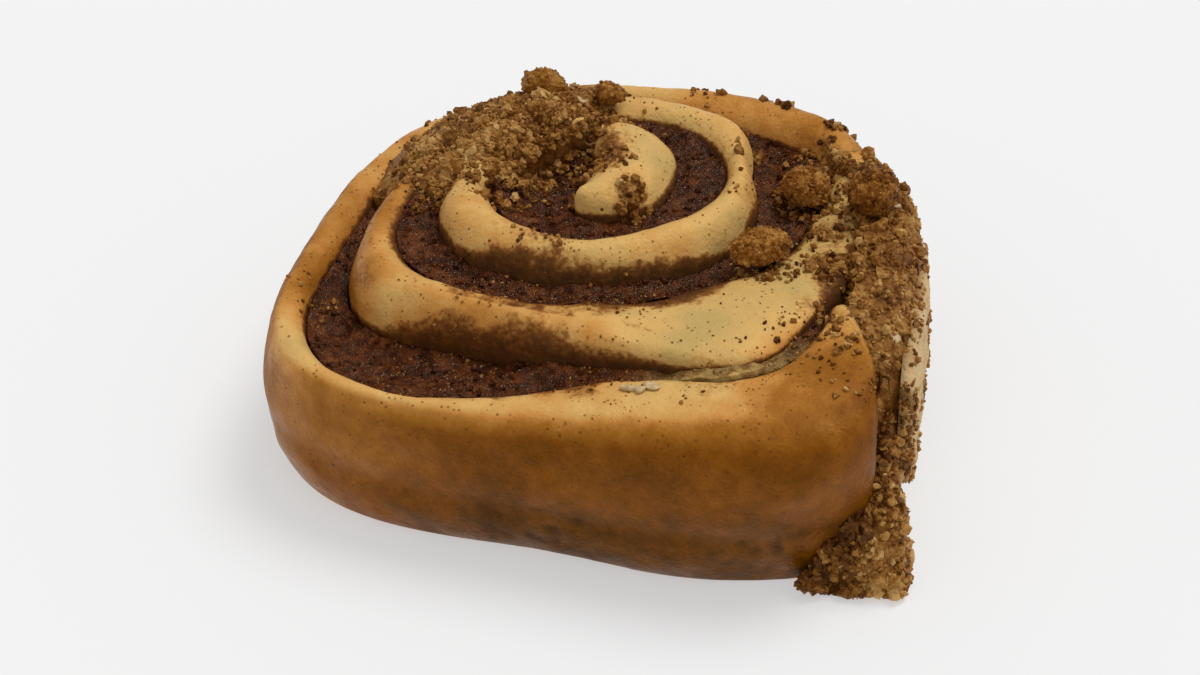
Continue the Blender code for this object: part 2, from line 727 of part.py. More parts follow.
def make_flap():
    """Torn crumb of dough that stands out from the right side."""
    rings = []
    for share, depth in FLAP_RINGS:
        ring = []
        for step in range(FLAP_SECTORS):
            angle = 2.0 * math.pi * step / FLAP_SECTORS
            east, up = math.cos(angle), math.sin(angle)
            power = FLAP_SQUARENESS
            square = (abs(east) ** power + abs(up) ** power) ** (-1.0 / power)
            ragged = FLAP_RAGGEDNESS * noise.noise(Vector((east, up, 0.0)) * FLAP_RAGGED_SPACING)
            reach = share * square * (1.0 + ragged)
            y = FLAP_CENTRE[0] + FLAP_HALF_LENGTH * reach * east
            z = FLAP_CENTRE[1] + FLAP_HALF_HEIGHT * reach * up
            bump = FLAP_BUMPS * noise.noise(Vector((y, z, 0.0)) / FLAP_BUMP_SPACING) if share < 1.0 else 0.0
            slant = FLAP_SLOPE * (y - FLAP_CENTRE[0]) + FLAP_LEAN * reach * up
            ring.append((FLAP_FACE - depth - slant + bump, y, z))
        rings.append(ring)
    return loft("torn_crumb", rings, CRUMB_COLOUR, CRUMB_ROUGHNESS)


def make_lump(name, centre, half_sizes, turn, neighbours):
    """A large piece of streusel, rough and rounded, fitted to what it lies on."""
    work = bmesh.new()
    bmesh.ops.create_icosphere(work, subdivisions=2, radius=1.0)
    spin = Matrix.Rotation(math.radians(turn), 3, "Z")
    for vert in work.verts:
        rough = 1.0 + LUMP_UNEVENNESS * noise.noise(vert.co * LUMP_WAVES + Vector(centre))
        moved = spin @ (vert.co * Vector(half_sizes) * rough)
        vert.co = moved + Vector(centre)
    work.verts.ensure_lookup_table()
    points = [in_metres(vert.co) for vert in work.verts]
    faces = [tuple(vert.index for vert in face.verts) for face in work.faces]
    work.free()
    lump = make_solid(name, points, faces, LUMP_COLOUR, LUMP_SHEEN)
    fit_against(lump, neighbours)
    return lump


def build():
    """Make the whole roll."""
    for old in list(bpy.data.objects):
        bpy.data.objects.remove(old)
    dough = make_dough()
    filling = make_filling()
    flap = make_flap()
    heap = make_heap([dough, filling])
    bank = make_bank([dough, filling, flap])
    made = [dough, filling, heap, bank]
    for name, centre, half_sizes, turn in LUMPS:
        made.append(make_lump(name, centre, half_sizes, turn, made[:4]))


build()
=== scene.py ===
"""Looks of a cinnamon roll: wound dough, sticky filling, and streusel down to its grains.

Distances are in millimetres and become metres where a mesh is made. A place along the strip is
given in turns, clockwise seen from above, counted from the right-hand side of the roll inwards.
"""
import itertools
import math

import bpy
import bmesh
import numpy as np
from mathutils import Matrix, Vector
from mathutils.bvhtree import BVHTree


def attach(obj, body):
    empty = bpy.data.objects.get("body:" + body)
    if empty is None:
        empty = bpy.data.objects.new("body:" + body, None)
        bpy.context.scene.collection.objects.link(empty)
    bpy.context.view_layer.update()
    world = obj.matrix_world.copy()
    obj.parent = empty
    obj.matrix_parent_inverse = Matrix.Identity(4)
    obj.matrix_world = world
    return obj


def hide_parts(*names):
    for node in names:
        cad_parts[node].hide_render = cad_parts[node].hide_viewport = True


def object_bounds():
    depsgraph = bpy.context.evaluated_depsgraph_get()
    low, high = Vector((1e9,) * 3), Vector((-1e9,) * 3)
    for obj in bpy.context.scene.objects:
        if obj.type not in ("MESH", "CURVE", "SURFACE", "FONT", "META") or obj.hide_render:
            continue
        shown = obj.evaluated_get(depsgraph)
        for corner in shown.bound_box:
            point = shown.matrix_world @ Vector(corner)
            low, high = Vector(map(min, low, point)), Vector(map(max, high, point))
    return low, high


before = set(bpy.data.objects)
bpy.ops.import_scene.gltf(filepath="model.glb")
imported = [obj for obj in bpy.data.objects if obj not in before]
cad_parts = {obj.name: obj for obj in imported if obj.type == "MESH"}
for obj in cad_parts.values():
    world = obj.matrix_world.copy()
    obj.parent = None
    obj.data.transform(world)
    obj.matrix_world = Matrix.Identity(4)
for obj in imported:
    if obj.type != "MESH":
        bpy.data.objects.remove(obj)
cad_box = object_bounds()

METRE = 0.001
BASE_CENTRE = np.array([0.81, 0.15, 0.0])
SEED = 7

# Plan of the roll: the eye of the coil, and the rounded square that the outer wrap fills.
EYE = np.array([-10.2, 7.1])
MIDDLE = np.array([-1.7, 0.6])
TWIST = math.radians(-2.0)
REACH_LEFT = 47.8
REACH_FRONT = 45.4
REACH_BACK = 45.0
REACH_RIGHT_TAIL = 49.8
REACH_RIGHT_SIDE = 41.0
SQUARE_FRONT_RIGHT = 5.0
SQUARE_FRONT_LEFT = 3.6
SQUARE_BACK_LEFT = 2.4
SQUARE_BACK_RIGHT = 3.1
RIM_SEARCH = (15.0, 95.0)
BISECTIONS = 40
RIM_TURNS = np.linspace(-0.1, 1.1, 4801)

# Eight values a turn, from the right-hand side on through front, left and back.
VALUES_PER_TURN = 8
HALF_TURN = 0.5
OUTER_BAND = np.array([9.6, 19.2, 12.4, 11.2, 9.8, 11.0, 8.0, 13.5, 17.3])
GROOVE_RADIUS = np.array([32.2, 26.0, 24.9, 24.2, 19.2, 18.5, 17.5, 22.0,
                          19.3, 14.2, 11.4, 10.8, 9.2, 9.0, 10.5, 2.6,
                          1.6, 3.2, 7.6])
CREST = np.array([30.6, 28.6, 25.0, 24.2, 25.4, 27.5, 29.9, 31.9,
                  29.2, 29.8, 30.2, 30.2, 29.8, 31.0, 33.2, 33.8,
                  33.8, 33.6, 33.6, 33.6, 33.4, 34.2, 35.2, 36.2,
                  36.4, 36.0, 35.5])
FILL_LEVEL = np.array([28.2, 27.2, 22.6, 21.6, 23.6, 26.2, 28.6, 27.2,
                       27.2, 28.2, 28.4, 28.2, 28.8, 30.0, 31.4, 31.2,
                       31.2, 31.4, 31.0, 30.4, 30.0, 30.2, 30.4, 30.6,
                       30.7, 31.1, 31.4])

# Where the wraps stand apart and the filling pools: place, reach (both in turns) and added width.
GROOVE_WIDTH = 1.6
BASE_CLOSING = 0.75
POOLS = ((0.295, 0.085, 10.0), (0.925, 0.040, 9.0), (1.000, 0.060, 4.0), (1.330, 0.160, 4.2),
         (1.950, 0.120, 4.8), (2.190, 0.090, 4.6))

# Where the strip's outer side passes from the outside of the roll to the wrap that lies on it.
COVER_START = 0.99
COVER_END = 1.07

# Where two wraps lie so close that only a seam shows: place and reach in turns.
SEAM_TURN = 0.10
SEAM_REACH = 0.09
SEAM_SHARPNESS = 4.0

# Section of the dough.
BULGE_HEIGHT = 13.0
BASE_UNDERCUT = 3.6
BASE_ROUNDNESS = 2.2
SIDE_ROUNDNESS = 2.5
TOP_ROUNDNESS = 2.1
CREST_PLACE = 0.52
FOOT_BELOW_FILL = 3.0
BASE_POINTS = 20
SIDE_POINTS = 9
OUTER_POINTS = 24
INNER_POINTS = 20
FLOOR_POINTS = 5

# Where the tail's lower corner draws in: place and reach in turns, added undercut and height,
# and how much flatter its curve is.
CORNER_TURN = 0.078
CORNER_REACH = 0.040
CORNER_UNDERCUT = 0.6
CORNER_HEIGHT = 7.0
CORNER_SLACK = 1.0

# Where the wall's base draws in further: place and reach in turns, and added undercut.
BASE_DRAWS = ((0.212, 0.050, 2.1), (0.368, 0.025, 1.1))

# The two ends of the strip.
STATION_SPACING = 0.95
LEAST_RADIUS = 12.0
TAIL_TURN = 0.058
TAIL_SHEAR = 0.046
TAIL_SHEAR_END = 0.24
TAIL_NOSE = 5.0
TAIL_NOSE_CENTRE = 15.0
NOSE_RINGS = 12
NOSE_LAST = math.radians(84.0)
NOSE_POWER = 0.8
TIP_START = 3.145
TIP_TURN = 3.187
TIP_RINGS = 14
TIP_BLUNTNESS = 2.6
TIP_LEAST = 0.08
TIP_DRAW = 2.0
TIP_DROP = 3.5

# Noise and scattered points are drawn on a lattice. Noise is given as amount, feature size and layer.
LATTICE_SIZE = 64
LAYER_SHIFT = 13.7
CELL_LAYER_SHIFT = 7.3
CELL_SPREAD = 0.45
FARTHEST_SQUARED = 9.0

# Relief of the dough: noise, and pores in groups.
DOUGH_RELIEF = ((0.34, 11.0, 0), (0.20, 4.5, 1), (0.09, 1.9, 2), (0.05, 1.0, 3))
DOUGH_INSET = 0.22
PORE_SPACING = 1.7
PORE_SIZE = 0.34
PORE_DEPTH = 0.24
PORE_GROUP_SPACING = 7.0
PORE_GROUP_EDGE = 0.5
BASE_FADE = 2.0

# The dent along the front wall: depth, height, reach, where it starts and is full, and unevenness.
CRUST_DENT = 0.95
CRUST_DENT_HEIGHT = 10.0
CRUST_DENT_REACH = 2.2
CRUST_DENT_FRONT = (25.0, 40.0)
CRUST_DENT_SHARES = (0.55, 0.45)
CRUST_DENT_SPACING = 9.0

# Small wrinkles low on the wall, in groups, which are also darkened with painted shade.
WRINKLE_DEPTH = 0.40
WRINKLE_PAINTED_SHADE = 0.15
WRINKLE_STRETCH = np.array([1.0, 1.0, 2.6])
WRINKLE_SPACING = 4.2
WRINKLE_SIZE = 0.40
WRINKLE_SOFTNESS = 0.3
WRINKLE_TOP = 13.5
WRINKLE_TOP_FADE = 3.0
WRINKLE_FOOT = (2.0, 5.0)
WRINKLE_GROUP_SPACING = 11.0
WRINKLE_GROUP_EDGE = (-0.1, 0.4)

# Browning on top, and down the outside at the heights of a wall that is SIDE_BAKE_CREST high.
TOP_BAKE = 0.20
TOP_BAKE_FADE = 1.2
TOP_UNEVEN = ((0.11, 9.0, 11), (0.06, 3.5, 11))
OUTER_TOP_BAKE = 0.22
SIDE_BAKE_HEIGHT = np.array([0.0, 2.0, 5.0, 9.0, 12.0, 15.0, 18.0, 21.0, 24.0, 28.0])
SIDE_BAKE = np.array([0.82, 0.88, 0.89, 0.87, 0.83, 0.79, 0.80, 0.77, 0.68, 0.54])
SIDE_BAKE_FADE = 4.0
SIDE_BAKE_CREST = 24.6

# Painted light: how much paler the outside becomes towards the left and the right, where more light falls on
# it than on the front, and where that starts and ends.
SIDE_PAINTED_LIGHT_LEFT = 0.20
SIDE_PAINTED_LIGHT_LEFT_REACH = (8.0, 42.0)
SIDE_PAINTED_LIGHT_RIGHT = 0.02
SIDE_PAINTED_LIGHT_RIGHT_REACH = (16.0, 36.0)

# Patches of more or less browning on top: X, Y, radius, change.
BAKE_PATCHES = ((-45.0, -16.0, 9.0, 0.26), (-47.0, 4.0, 12.0, 0.24), (-40.0, 26.0, 12.0, 0.20),
                (-34.5, -19.0, 7.0, 0.34), (-38.0, -4.0, 8.0, 0.28), (-18.0, -29.5, 8.0, 0.26),
                (-22.0, -23.0, 6.0, 0.06), (-9.0, -26.5, 6.0, 0.08), (3.0, -27.0, 7.0, 0.06),
                (37.0, -22.0, 9.0, 0.20), (27.0, -31.0, 12.0, 0.18), (42.0, -29.0, 7.0, 0.22),
                (33.0, -37.0, 9.0, 0.16), (4.0, -38.0, 12.0, 0.10), (-14.0, -12.0, 5.0, 0.08),
                (23.0, 38.0, 8.0, 0.34), (33.0, 31.0, 7.0, 0.24), (10.0, 43.0, 10.0, 0.18),
                (12.0, -11.5, 6.0, 0.16), (17.0, 12.0, 6.0, 0.08), (18.0, -24.0, 12.0, -0.22),
                (27.0, -6.0, 9.0, -0.20), (0.0, 14.0, 7.0, -0.06))

# Cinnamon coating on the slopes beside the filling: height above it, and X, Y, radius, added height.
COAT_HEIGHT = 1.2
COAT_SHARPNESS = 1.5
COAT_INNER_SHARE = 0.25
COAT_LEAST = 0.3
COAT_UNEVEN = ((0.45, 5.5, 8), (0.2, 2.0, 9))
COAT_PATCHES = ((-14.0, -18.0, 8.0, 4.6), (-2.0, -18.0, 8.0, 4.6), (10.0, -14.0, 8.0, 3.6),
                (-25.0, -27.0, 6.0, 3.0), (-16.0, -30.5, 8.0, 5.6), (-5.0, -32.5, 8.0, 5.6),
                (4.0, -33.5, 5.0, 2.6), (2.0, -36.5, 5.0, 0.5), (-8.0, -37.0, 6.0, 0.4),
                (-40.0, -12.0, 7.0, 2.0), (15.0, 11.0, 6.0, 2.6), (33.0, -2.0, 4.0, 2.5),
                (-7.0, 12.0, 5.0, 2.5), (-31.0, 2.0, 6.0, 1.6), (-19.0, 1.0, 6.0, 1.6))

# Stains of syrup and cinnamon on top: X, Y, radius, strength. They fade out below the crest.
STAIN_FADE = (-6.0, -2.0)
STAINS = ((-5.0, 10.0, 3.6, 0.66), (-6.5, 15.0, 3.4, 0.50), (0.5, 2.6, 2.8, 0.50),
          (-9.0, -10.0, 4.0, 0.40), (-17.0, -9.0, 3.0, 0.15), (14.0, 19.0, 3.0, 0.20),
          (15.0, 10.0, 3.5, 0.22), (33.0, -2.0, 4.5, 0.75), (30.0, 7.5, 3.0, 0.60),
          (31.0, -13.0, 3.5, 0.32), (36.0, -20.0, 5.0, 0.22), (-36.0, -20.0, 4.0, 0.32),
          (-30.0, 2.0, 5.0, 0.35), (-20.0, 1.0, 4.0, 0.35), (24.0, 27.0, 5.0, 0.50),
          (20.0, -31.0, 5.0, 0.30))

# The filling: the section's shoulders, and a top of grains and lumps.
FILL_START = 0.066
FILL_END = TIP_TURN - 0.99
FILL_OVERLAP = 0.25
FILL_STATIONS_PER_TURN = 560
FILL_TOP_POINTS = 22
FILL_SIDE_POINTS = 3
SHOULDER_SHARES = (0.3, 0.6, 1.0)
FILL_SAG = 0.35
FILL_GRAIN_SPACING = 1.5
FILL_GRAIN_HEIGHT = 0.50
FILL_GRAIN_MEAN = 0.55
FILL_FINE_SPACING = 0.75
FILL_FINE_SHARE = 0.45
FILL_FINE_MEAN = 0.5
FILL_LUMPS = ((0.90, 4.2, 4),)
FILL_WETNESS = 0.5
FILL_WET_UNEVEN = ((0.5, 3.0, 8), (0.5, 1.3, 3))

# Where the groove closes and dough with crumbs covers the filling: X, Y, radius, share.
CLOSED_GROOVE = ((16.0, -33.5, 5.0, 0.8), (23.0, -32.0, 5.5, 0.9), (30.0, -29.5, 5.5, 0.9),
                 (36.0, -25.5, 5.0, 0.9), (41.0, -20.5, 4.5, 0.8))
CLOSED_RISE = 1.3
CLOSED_LEAST = 22.0

# The round end of the filling in the eye of the coil, and its hollow: X, Y, radius, height.
HUB_SECTORS = 220
HUB_RINGS = 46
HUB_LEAST = 0.02
HUB_LEVEL = 31.0
HUB_RIM_DROP = 0.3
HUB_EDGE = 2.0
HUB_REACH = 12.0
HUB_SKIRT_HEIGHT = 12.0
HOLLOW = (-15.8, 13.2, 5.0, -2.4)

# Streusel heap.
HEAP_PLACE = (-23.0, 22.6)
HEAP_HALF_LENGTH = 21.0
HEAP_HALF_WIDTH = 13.5
HEAP_ANGLE = math.radians(38.0)
HEAP_THICKNESS = 5.2
HEAP_SINK = 9.0
HEAP_EDGE_SINK = 1.8
HEAP_PROFILE = 2.2
HEAP_RINGS = 34
HEAP_SECTORS = 150
HEAP_LEAST = 0.03
HEAP_MIDDLE_HEIGHT = 20.0

# Bulges and hollows of the heap's outline: bearing from its long axis and half width in degrees, amount.
HEAP_BULGES = ((-171.0, 20.0, 0.12), (-122.0, 24.0, 0.24), (-84.0, 17.0, -0.27),
               (-38.0, 18.0, -0.15), (145.0, 30.0, 0.14))

# Where the heap's grains lie: above a height, and fewer where the heap is steep.
HEAP_GRAIN_HEIGHT = 28.0
HEAP_STEEPNESS = 0.5

# The bank, from front to back: place along Y, inner and outer X at the base, outer X at the top, height.
BANK = np.array([(-41.5, 35.5, 44.5, 43.0, 2.0), (-39.5, 35.5, 50.6, 48.6, 7.0),
                 (-35.0, 37.0, 51.1, 49.6, 12.0), (-29.0, 38.5, 49.2, 47.8, 19.0),
                 (-23.5, 40.0, 47.4, 47.0, 26.0), (-15.0, 36.5, 46.6, 46.2, 29.8),
                 (-3.0, 33.0, 46.0, 45.6, 31.0), (12.0, 31.5, 45.2, 44.4, 31.6),
                 (17.5, 31.2, 44.2, 42.8, 31.6), (23.0, 31.0, 41.8, 39.8, 31.6),
                 (28.5, 31.0, 38.8, 36.6, 31.2), (33.0, 31.0, 36.0, 33.6, 29.6)])
BANK_TOP_WIDTH = 12.5
BANK_FULL_HEIGHT = 26.5
BANK_SHOULDER = 3.2
BANK_INNER_DEPTH = 9.0
BANK_BEVEL = (3.0, 2.2)
BANK_TOE = 0.18
BANK_WAIST = 0.55
BANK_WAIST_SLOPE = 0.6
BANK_TOE_SWELL = 0.3
BANK_LEAST_INNER = 0.3
BANK_LEAST_SHOULDER = 0.5
BANK_ROWS = 150
BANK_STEPS = 12
BANK_END_SHARES = (0.2, 0.5, 0.8)
BANK_MIDDLE = np.array([38.0, 0.0, 14.0])

# Where the bank's grains lie: right of an X, above a height, or far from the middle along Y.
BANK_GRAIN_X = 39.0
BANK_GRAIN_HEIGHT = 26.0
BANK_GRAIN_MIDDLE = -2.0
BANK_GRAIN_REACH = 24.0

# The bank's front end: coarser lumps, grains closer together, and an uneven edge.
TOE_START = -28.0
TOE_LUMPS = 0.9
TOE_LUMPS_FRONT = (24.0, 30.0)
TOE_CROWDING = 0.8
TOE_EDGE = (38.0, 41.0)
TOE_NOTCH = 1.1
TOE_NOTCH_SPACING = 4.0

# Packed streusel under the loose grains: height and spacing of its lumps, and noise.
CORE_LUMPS = (0.75, 1.9)
CORE_UNEVEN = ((0.55, 4.2, 5),)
CORE_INSET = 0.7

# Torn crumb of dough on the right side.
FLAP_CENTRE = (-5.0, 17.0)
FLAP_HALF_LENGTH = 22.0
FLAP_HALF_HEIGHT = 10.0
FLAP_FACE = 48.0
FLAP_SLOPE = 0.08
FLAP_THICKNESS = 3.2
FLAP_LEAN = 0.5
FLAP_SQUARENESS = 3.2
FLAP_SECTORS = 150
FLAP_RINGS = 60
FLAP_SHARES = (0.98, 0.02)
FLAP_EDGE_DEPTH = 0.9
FLAP_FACE_DEPTH = 0.3
FLAP_EDGE_POWER = 6
FLAP_PORE_SPACING = 1.5
FLAP_PORE_DEPTH = 0.75
FLAP_PORE_MEAN = 0.75
FLAP_UNEVEN = ((0.5, 4.0, 7),)
FLAP_RELIEF_MOST = 0.35

# The torn crumb's ragged outline, its browned edge, and how near the bank's grains come to it.
FLAP_RAGGEDNESS = 0.16
FLAP_RAGGED_REACH = 9.0
FLAP_RAGGED_SPACING = 1.4
FLAP_RAGGED_INSET = 0.03
FLAP_CRUST = (0.84, 1.12)
FLAP_CRUST_UNEVEN = ((0.20, 5.0, 3), (0.08, 2.0, 4))
FLAP_MARGINS = (1.5, 0.5)
FLAP_BARE_X = 42.0

# Large pieces of streusel: name, centre, half sizes, turn about Z in degrees, cobble height, tone.
LUMPS = (("lump_back", (-19.2, 28.8, 35.6), (4.0, 3.0, 2.7), 20.0, 0.24, 0.46),
         ("lump_back_small", (-8.2, 29.0, 35.6), (2.8, 2.2, 1.9), -10.0, 0.14, 0.46),
         ("lump_front", (21.8, -2.6, 31.4), (4.6, 3.2, 2.6), 30.0, 0.42, 0.50),
         ("lump_right", (36.4, 12.6, 33.6), (4.0, 4.0, 3.5), 10.0, 0.55, 0.30),
         ("lump_pocket", (25.6, 17.0, 30.4), (4.0, 3.4, 2.7), -30.0, 0.55, 0.42))
LUMP_SUBDIVISIONS = 5
LUMP_INSET = 0.2
LUMP_COBBLE_SPACING = 1.1
LUMP_FINE_SPACING = 0.6
LUMP_COBBLE_SHARE = 0.6
LUMP_FINE_MEAN = 0.6
LUMP_UNEVEN = ((0.65, 3.4, 3), (0.35, 1.5, 5), (0.16, 0.7, 7))
LUMP_RELIEF_MOST = 0.25
LUMP_TONES = ((0.22, 1.8, 6),)
LUMP_COBBLE_TONE = 0.12
LUMP_GRAINS = 1300
LUMP_GRAIN_SIZE = (0.18, 0.48)
LUMP_GRAIN_SINK = 0.2
LUMP_GRAIN_TONE = 0.12

# Streusel grains: count, least and most radius, subdivisions; their form, and how deep they sit.
HEAP_GRAINS = ((5600, 0.15, 0.38, 0), (1500, 0.34, 0.66, 0), (130, 0.60, 1.00, 1), (26, 0.90, 1.40, 2))
BANK_GRAINS = ((4600, 0.16, 0.42, 0), (1500, 0.38, 0.75, 0), (160, 0.70, 1.10, 1), (34, 1.00, 1.70, 2))
GRAIN_STRETCH = 0.34
GRAIN_UNEVENNESS = 0.24
GRAIN_UNEVEN_MOST = 1.6
GRAIN_SINK = 0.45
GRAIN_RISE = 0.45
GRAIN_REACH = 1.3
BOX_SLACK = 0.001

# Tone of the streusel, from 0 for dark to 1 for pale: grains, pale ones, clumps, the core and the foot.
GRAIN_TONE = 0.50
GRAIN_TONE_SPREAD = 0.15
PALE_SHARE = 0.10
PALE_TONE = 0.30
CLUMP_TONE = 0.30
CLUMP_SPACING = 4.5
CORE_TONE = 0.36
CORE_TONE_SPACING = 1.3
BANK_TONE = 0.02
FOOT_TONE = 0.16
FOOT_HEIGHT = 2.0

# Darker and paler places in the streusel: X, Y, radius, tone.
TONE_PATCHES = ((36.5, -40.5, 5.0, -0.34), (40.5, -37.0, 3.5, -0.16), (47.0, -38.5, 5.0, 0.12),
                (-30.0, 8.0, 9.0, 0.18), (44.0, -38.0, 5.0, 0.10), (-23.0, 26.0, 14.0, -0.07),
                (42.0, 0.0, 14.0, -0.06))

# Crumbs that lie about on the dough and filling: X, Y, radius, count, least and most radius.
CRUMB_PATCHES = ((-10.0, -10.0, 4.5, 50, 0.12, 0.50), (-6.0, -9.6, 3.0, 24, 0.12, 0.45),
                 (-7.6, 22.0, 3.5, 26, 0.25, 0.80), (0.7, 2.1, 2.6, 34, 0.30, 0.90),
                 (-4.0, 9.0, 3.5, 40, 0.15, 0.50), (-30.0, 4.0, 6.0, 90, 0.20, 0.70),
                 (-20.0, 2.0, 5.0, 60, 0.20, 0.75), (-38.0, 8.0, 4.0, 40, 0.20, 0.60),
                 (-16.0, 8.0, 3.5, 110, 0.20, 0.70), (-19.0, 12.0, 3.0, 90, 0.25, 0.80),
                 (-15.0, 17.0, 3.2, 110, 0.20, 0.75), (-10.0, 19.0, 2.8, 90, 0.20, 0.75),
                 (-12.0, 6.0, 5.0, 60, 0.15, 0.50), (-9.0, 12.0, 4.0, 50, 0.15, 0.50),
                 (14.7, 10.8, 3.5, 12, 0.12, 0.40), (14.3, 21.0, 2.5, 12, 0.20, 0.70),
                 (14.3, 30.0, 2.2, 9, 0.40, 0.90), (16.0, 40.5, 3.0, 20, 0.30, 0.80),
                 (4.2, 40.5, 3.0, 14, 0.25, 0.75), (27.0, 36.0, 3.0, 30, 0.30, 0.80),
                 (24.5, 26.0, 5.5, 90, 0.25, 0.85), (23.0, 20.0, 4.0, 50, 0.25, 0.80),
                 (29.5, 7.5, 2.6, 26, 0.25, 0.80), (32.0, -2.0, 4.0, 70, 0.25, 0.80),
                 (34.0, -13.0, 3.4, 40, 0.20, 0.70), (28.3, -18.0, 4.0, 22, 0.15, 0.50),
                 (36.6, -20.7, 4.0, 34, 0.20, 0.60), (31.3, -27.0, 5.0, 26, 0.15, 0.45),
                 (39.4, -30.0, 3.5, 20, 0.15, 0.50), (22.0, -3.0, 5.5, 46, 0.20, 0.70),
                 (-41.6, -21.0, 4.0, 20, 0.15, 0.45), (-45.5, -16.4, 3.0, 8, 0.20, 0.45),
                 (-14.0, -18.0, 7.0, 70, 0.12, 0.34), (4.0, -17.0, 7.0, 60, 0.12, 0.34),
                 (-20.0, -30.0, 9.0, 80, 0.10, 0.30), (4.7, -33.0, 7.0, 60, 0.10, 0.30),
                 (20.0, -30.0, 8.0, 30, 0.10, 0.30), (22.5, -3.0, 6.0, 110, 0.15, 0.50),
                 (25.6, 17.0, 5.5, 140, 0.15, 0.60), (36.0, 12.6, 6.0, 120, 0.20, 0.65),
                 (-23.0, 22.0, 24.0, 320, 0.15, 0.55), (38.0, 10.0, 16.0, 200, 0.15, 0.60),
                 (0.0, 0.0, 42.0, 560, 0.06, 0.18))

# Loose crumbs: where they rest, how far they stand out, and the tone's mean and spread.
CRUMB_LEAST_HEIGHT = 12.0
CRUMB_LEAST_SLOPE = 0.15
CRUMB_RISE = 0.35
CRUMB_LARGE = 0.45
CRUMB_TONE = (0.42, 0.2)
DROP_HEIGHT = 60.0

# Crumbs that cling to the torn crumb of dough: in clusters, at its edge and at its front end.
CLINGING_COUNT = 900
CLINGING_SIZE = (0.12, 0.46)
CLINGING_TONE = (0.45, 0.2)
CLINGING_RISE = 0.2
CLINGING_CLUSTERS = (0.0, 0.5)
CLINGING_CLUSTER_SPACING = 5.0
CLINGING_CLUSTER_REACH = (-24.0, -14.0)
CLINGING_EDGE = (0.84, 1.0)
CLINGING_FRONT = (17.0, 21.0)
CLINGING_FRONT_SHARE = 1.2

# Dark sticky grains on the filling, and clear sugar crystals on filling and streusel.
STICKY_COUNT = 700
STICKY_SIZE = (0.18, 0.55)
STICKY_WETNESS = (0.1, 0.8)
STICKY_SINK = np.array([0.0, 0.0, 0.1])
STICKY_LEAST_SLOPE = 0.5
SUGAR_COUNT = 5200
SUGAR_SIZE = (0.04, 0.10)
SUGAR_REACH_X = (-44.0, 44.0)
SUGAR_REACH_Y = (-38.0, 40.0)
SUGAR_RISE = 0.05
TOP_LEAST_HEIGHT = 18.0

# Tint of what greasy and sugary surfaces reflect.
WARM_SHEEN = (1.0, 0.62, 0.26, 1.0)
PALE_SHEEN = (1.0, 0.74, 0.50, 1.0)

# Pale flakes: X, Y, half length, half width, turn in degrees.
FLAKES = ((9.4, -35.2, 1.7, 0.6, 5.0), (12.2, -34.5, 1.4, 0.9, -25.0), (10.9, -35.6, 0.8, 0.5, 40.0),
          (23.2, 20.9, 2.0, 1.2, 15.0), (39.4, 14.2, 1.5, 0.9, 60.0), (43.0, -15.6, 1.6, 1.0, 80.0),
          (-13.6, 26.7, 1.4, 1.0, 0.0))
FLAKE_THICKNESS = 0.35
FLAKE_SUBDIVISIONS = 3
FLAKE_RISE = 0.3
FLAKE_CURL = 0.25
FLAKE_CURL_SPACING = 1.3
FLAKE_RAGGEDNESS = 0.22
FLAKE_RAGGED_SPACING = 0.9

# Range of a noise texture's values that is stretched to its full effect.
NOISE_RANGE = (0.3, 0.7)

# The stage: half the floor's width, how far it lies below the roll, and the light on it.
FLOOR_HALF = 3.0
FLOOR_DROP = 0.0001
SUN_TOWARD = (0.30, 0.34, 0.89)
SUN_POWER = 1.45
SUN_SPREAD = math.radians(30.0)
SKY_STRENGTH = 0.532
REFLECTED_SKY_STRENGTH = 0.10

# The photograph's camera: bearing from the front, height above the horizon, distance, lens and aim.
AZIMUTH = math.radians(14.0)
ELEVATION = math.radians(36.0)
CAMERA_DISTANCE = 340.0
LENS = 67.32
SENSOR_WIDTH = 36.0
NEAREST_SEEN = 0.01
AIM = Vector((-1.96, -7.05, 14.0))


def smooth_step(value, low, high):
    """Rise smoothly from 0 at low to 1 at high."""
    share = np.clip((np.asarray(value, float) - low) / (high - low), 0.0, 1.0)
    return share * share * (3.0 - 2.0 * share)


def bell(value, place, reach):
    """1 at a place, fading smoothly to 0 away from it."""
    return np.exp(-((value - place) / reach) ** 2)


def along(values, turn):
    """Smooth curve through values that lie an equal share of a turn apart."""
    last = len(values) - 1
    place = np.clip(np.asarray(turn, float) * VALUES_PER_TURN, 0.0, last)
    first = np.minimum(place.astype(int), last - 1)
    part = place - first
    before, here, there, after = (values[np.clip(first + step, 0, last)] for step in (-1, 0, 1, 2))
    return here + 0.5 * part * (there - before + part * (
        2.0 * before - 5.0 * here + 4.0 * there - after
        + part * (3.0 * (here - there) + after - before)))


def heading(turn):
    """Direction from the eye of the coil, as its two plan components."""
    angle = -2.0 * math.pi * np.asarray(turn, float)
    return np.cos(angle), np.sin(angle)


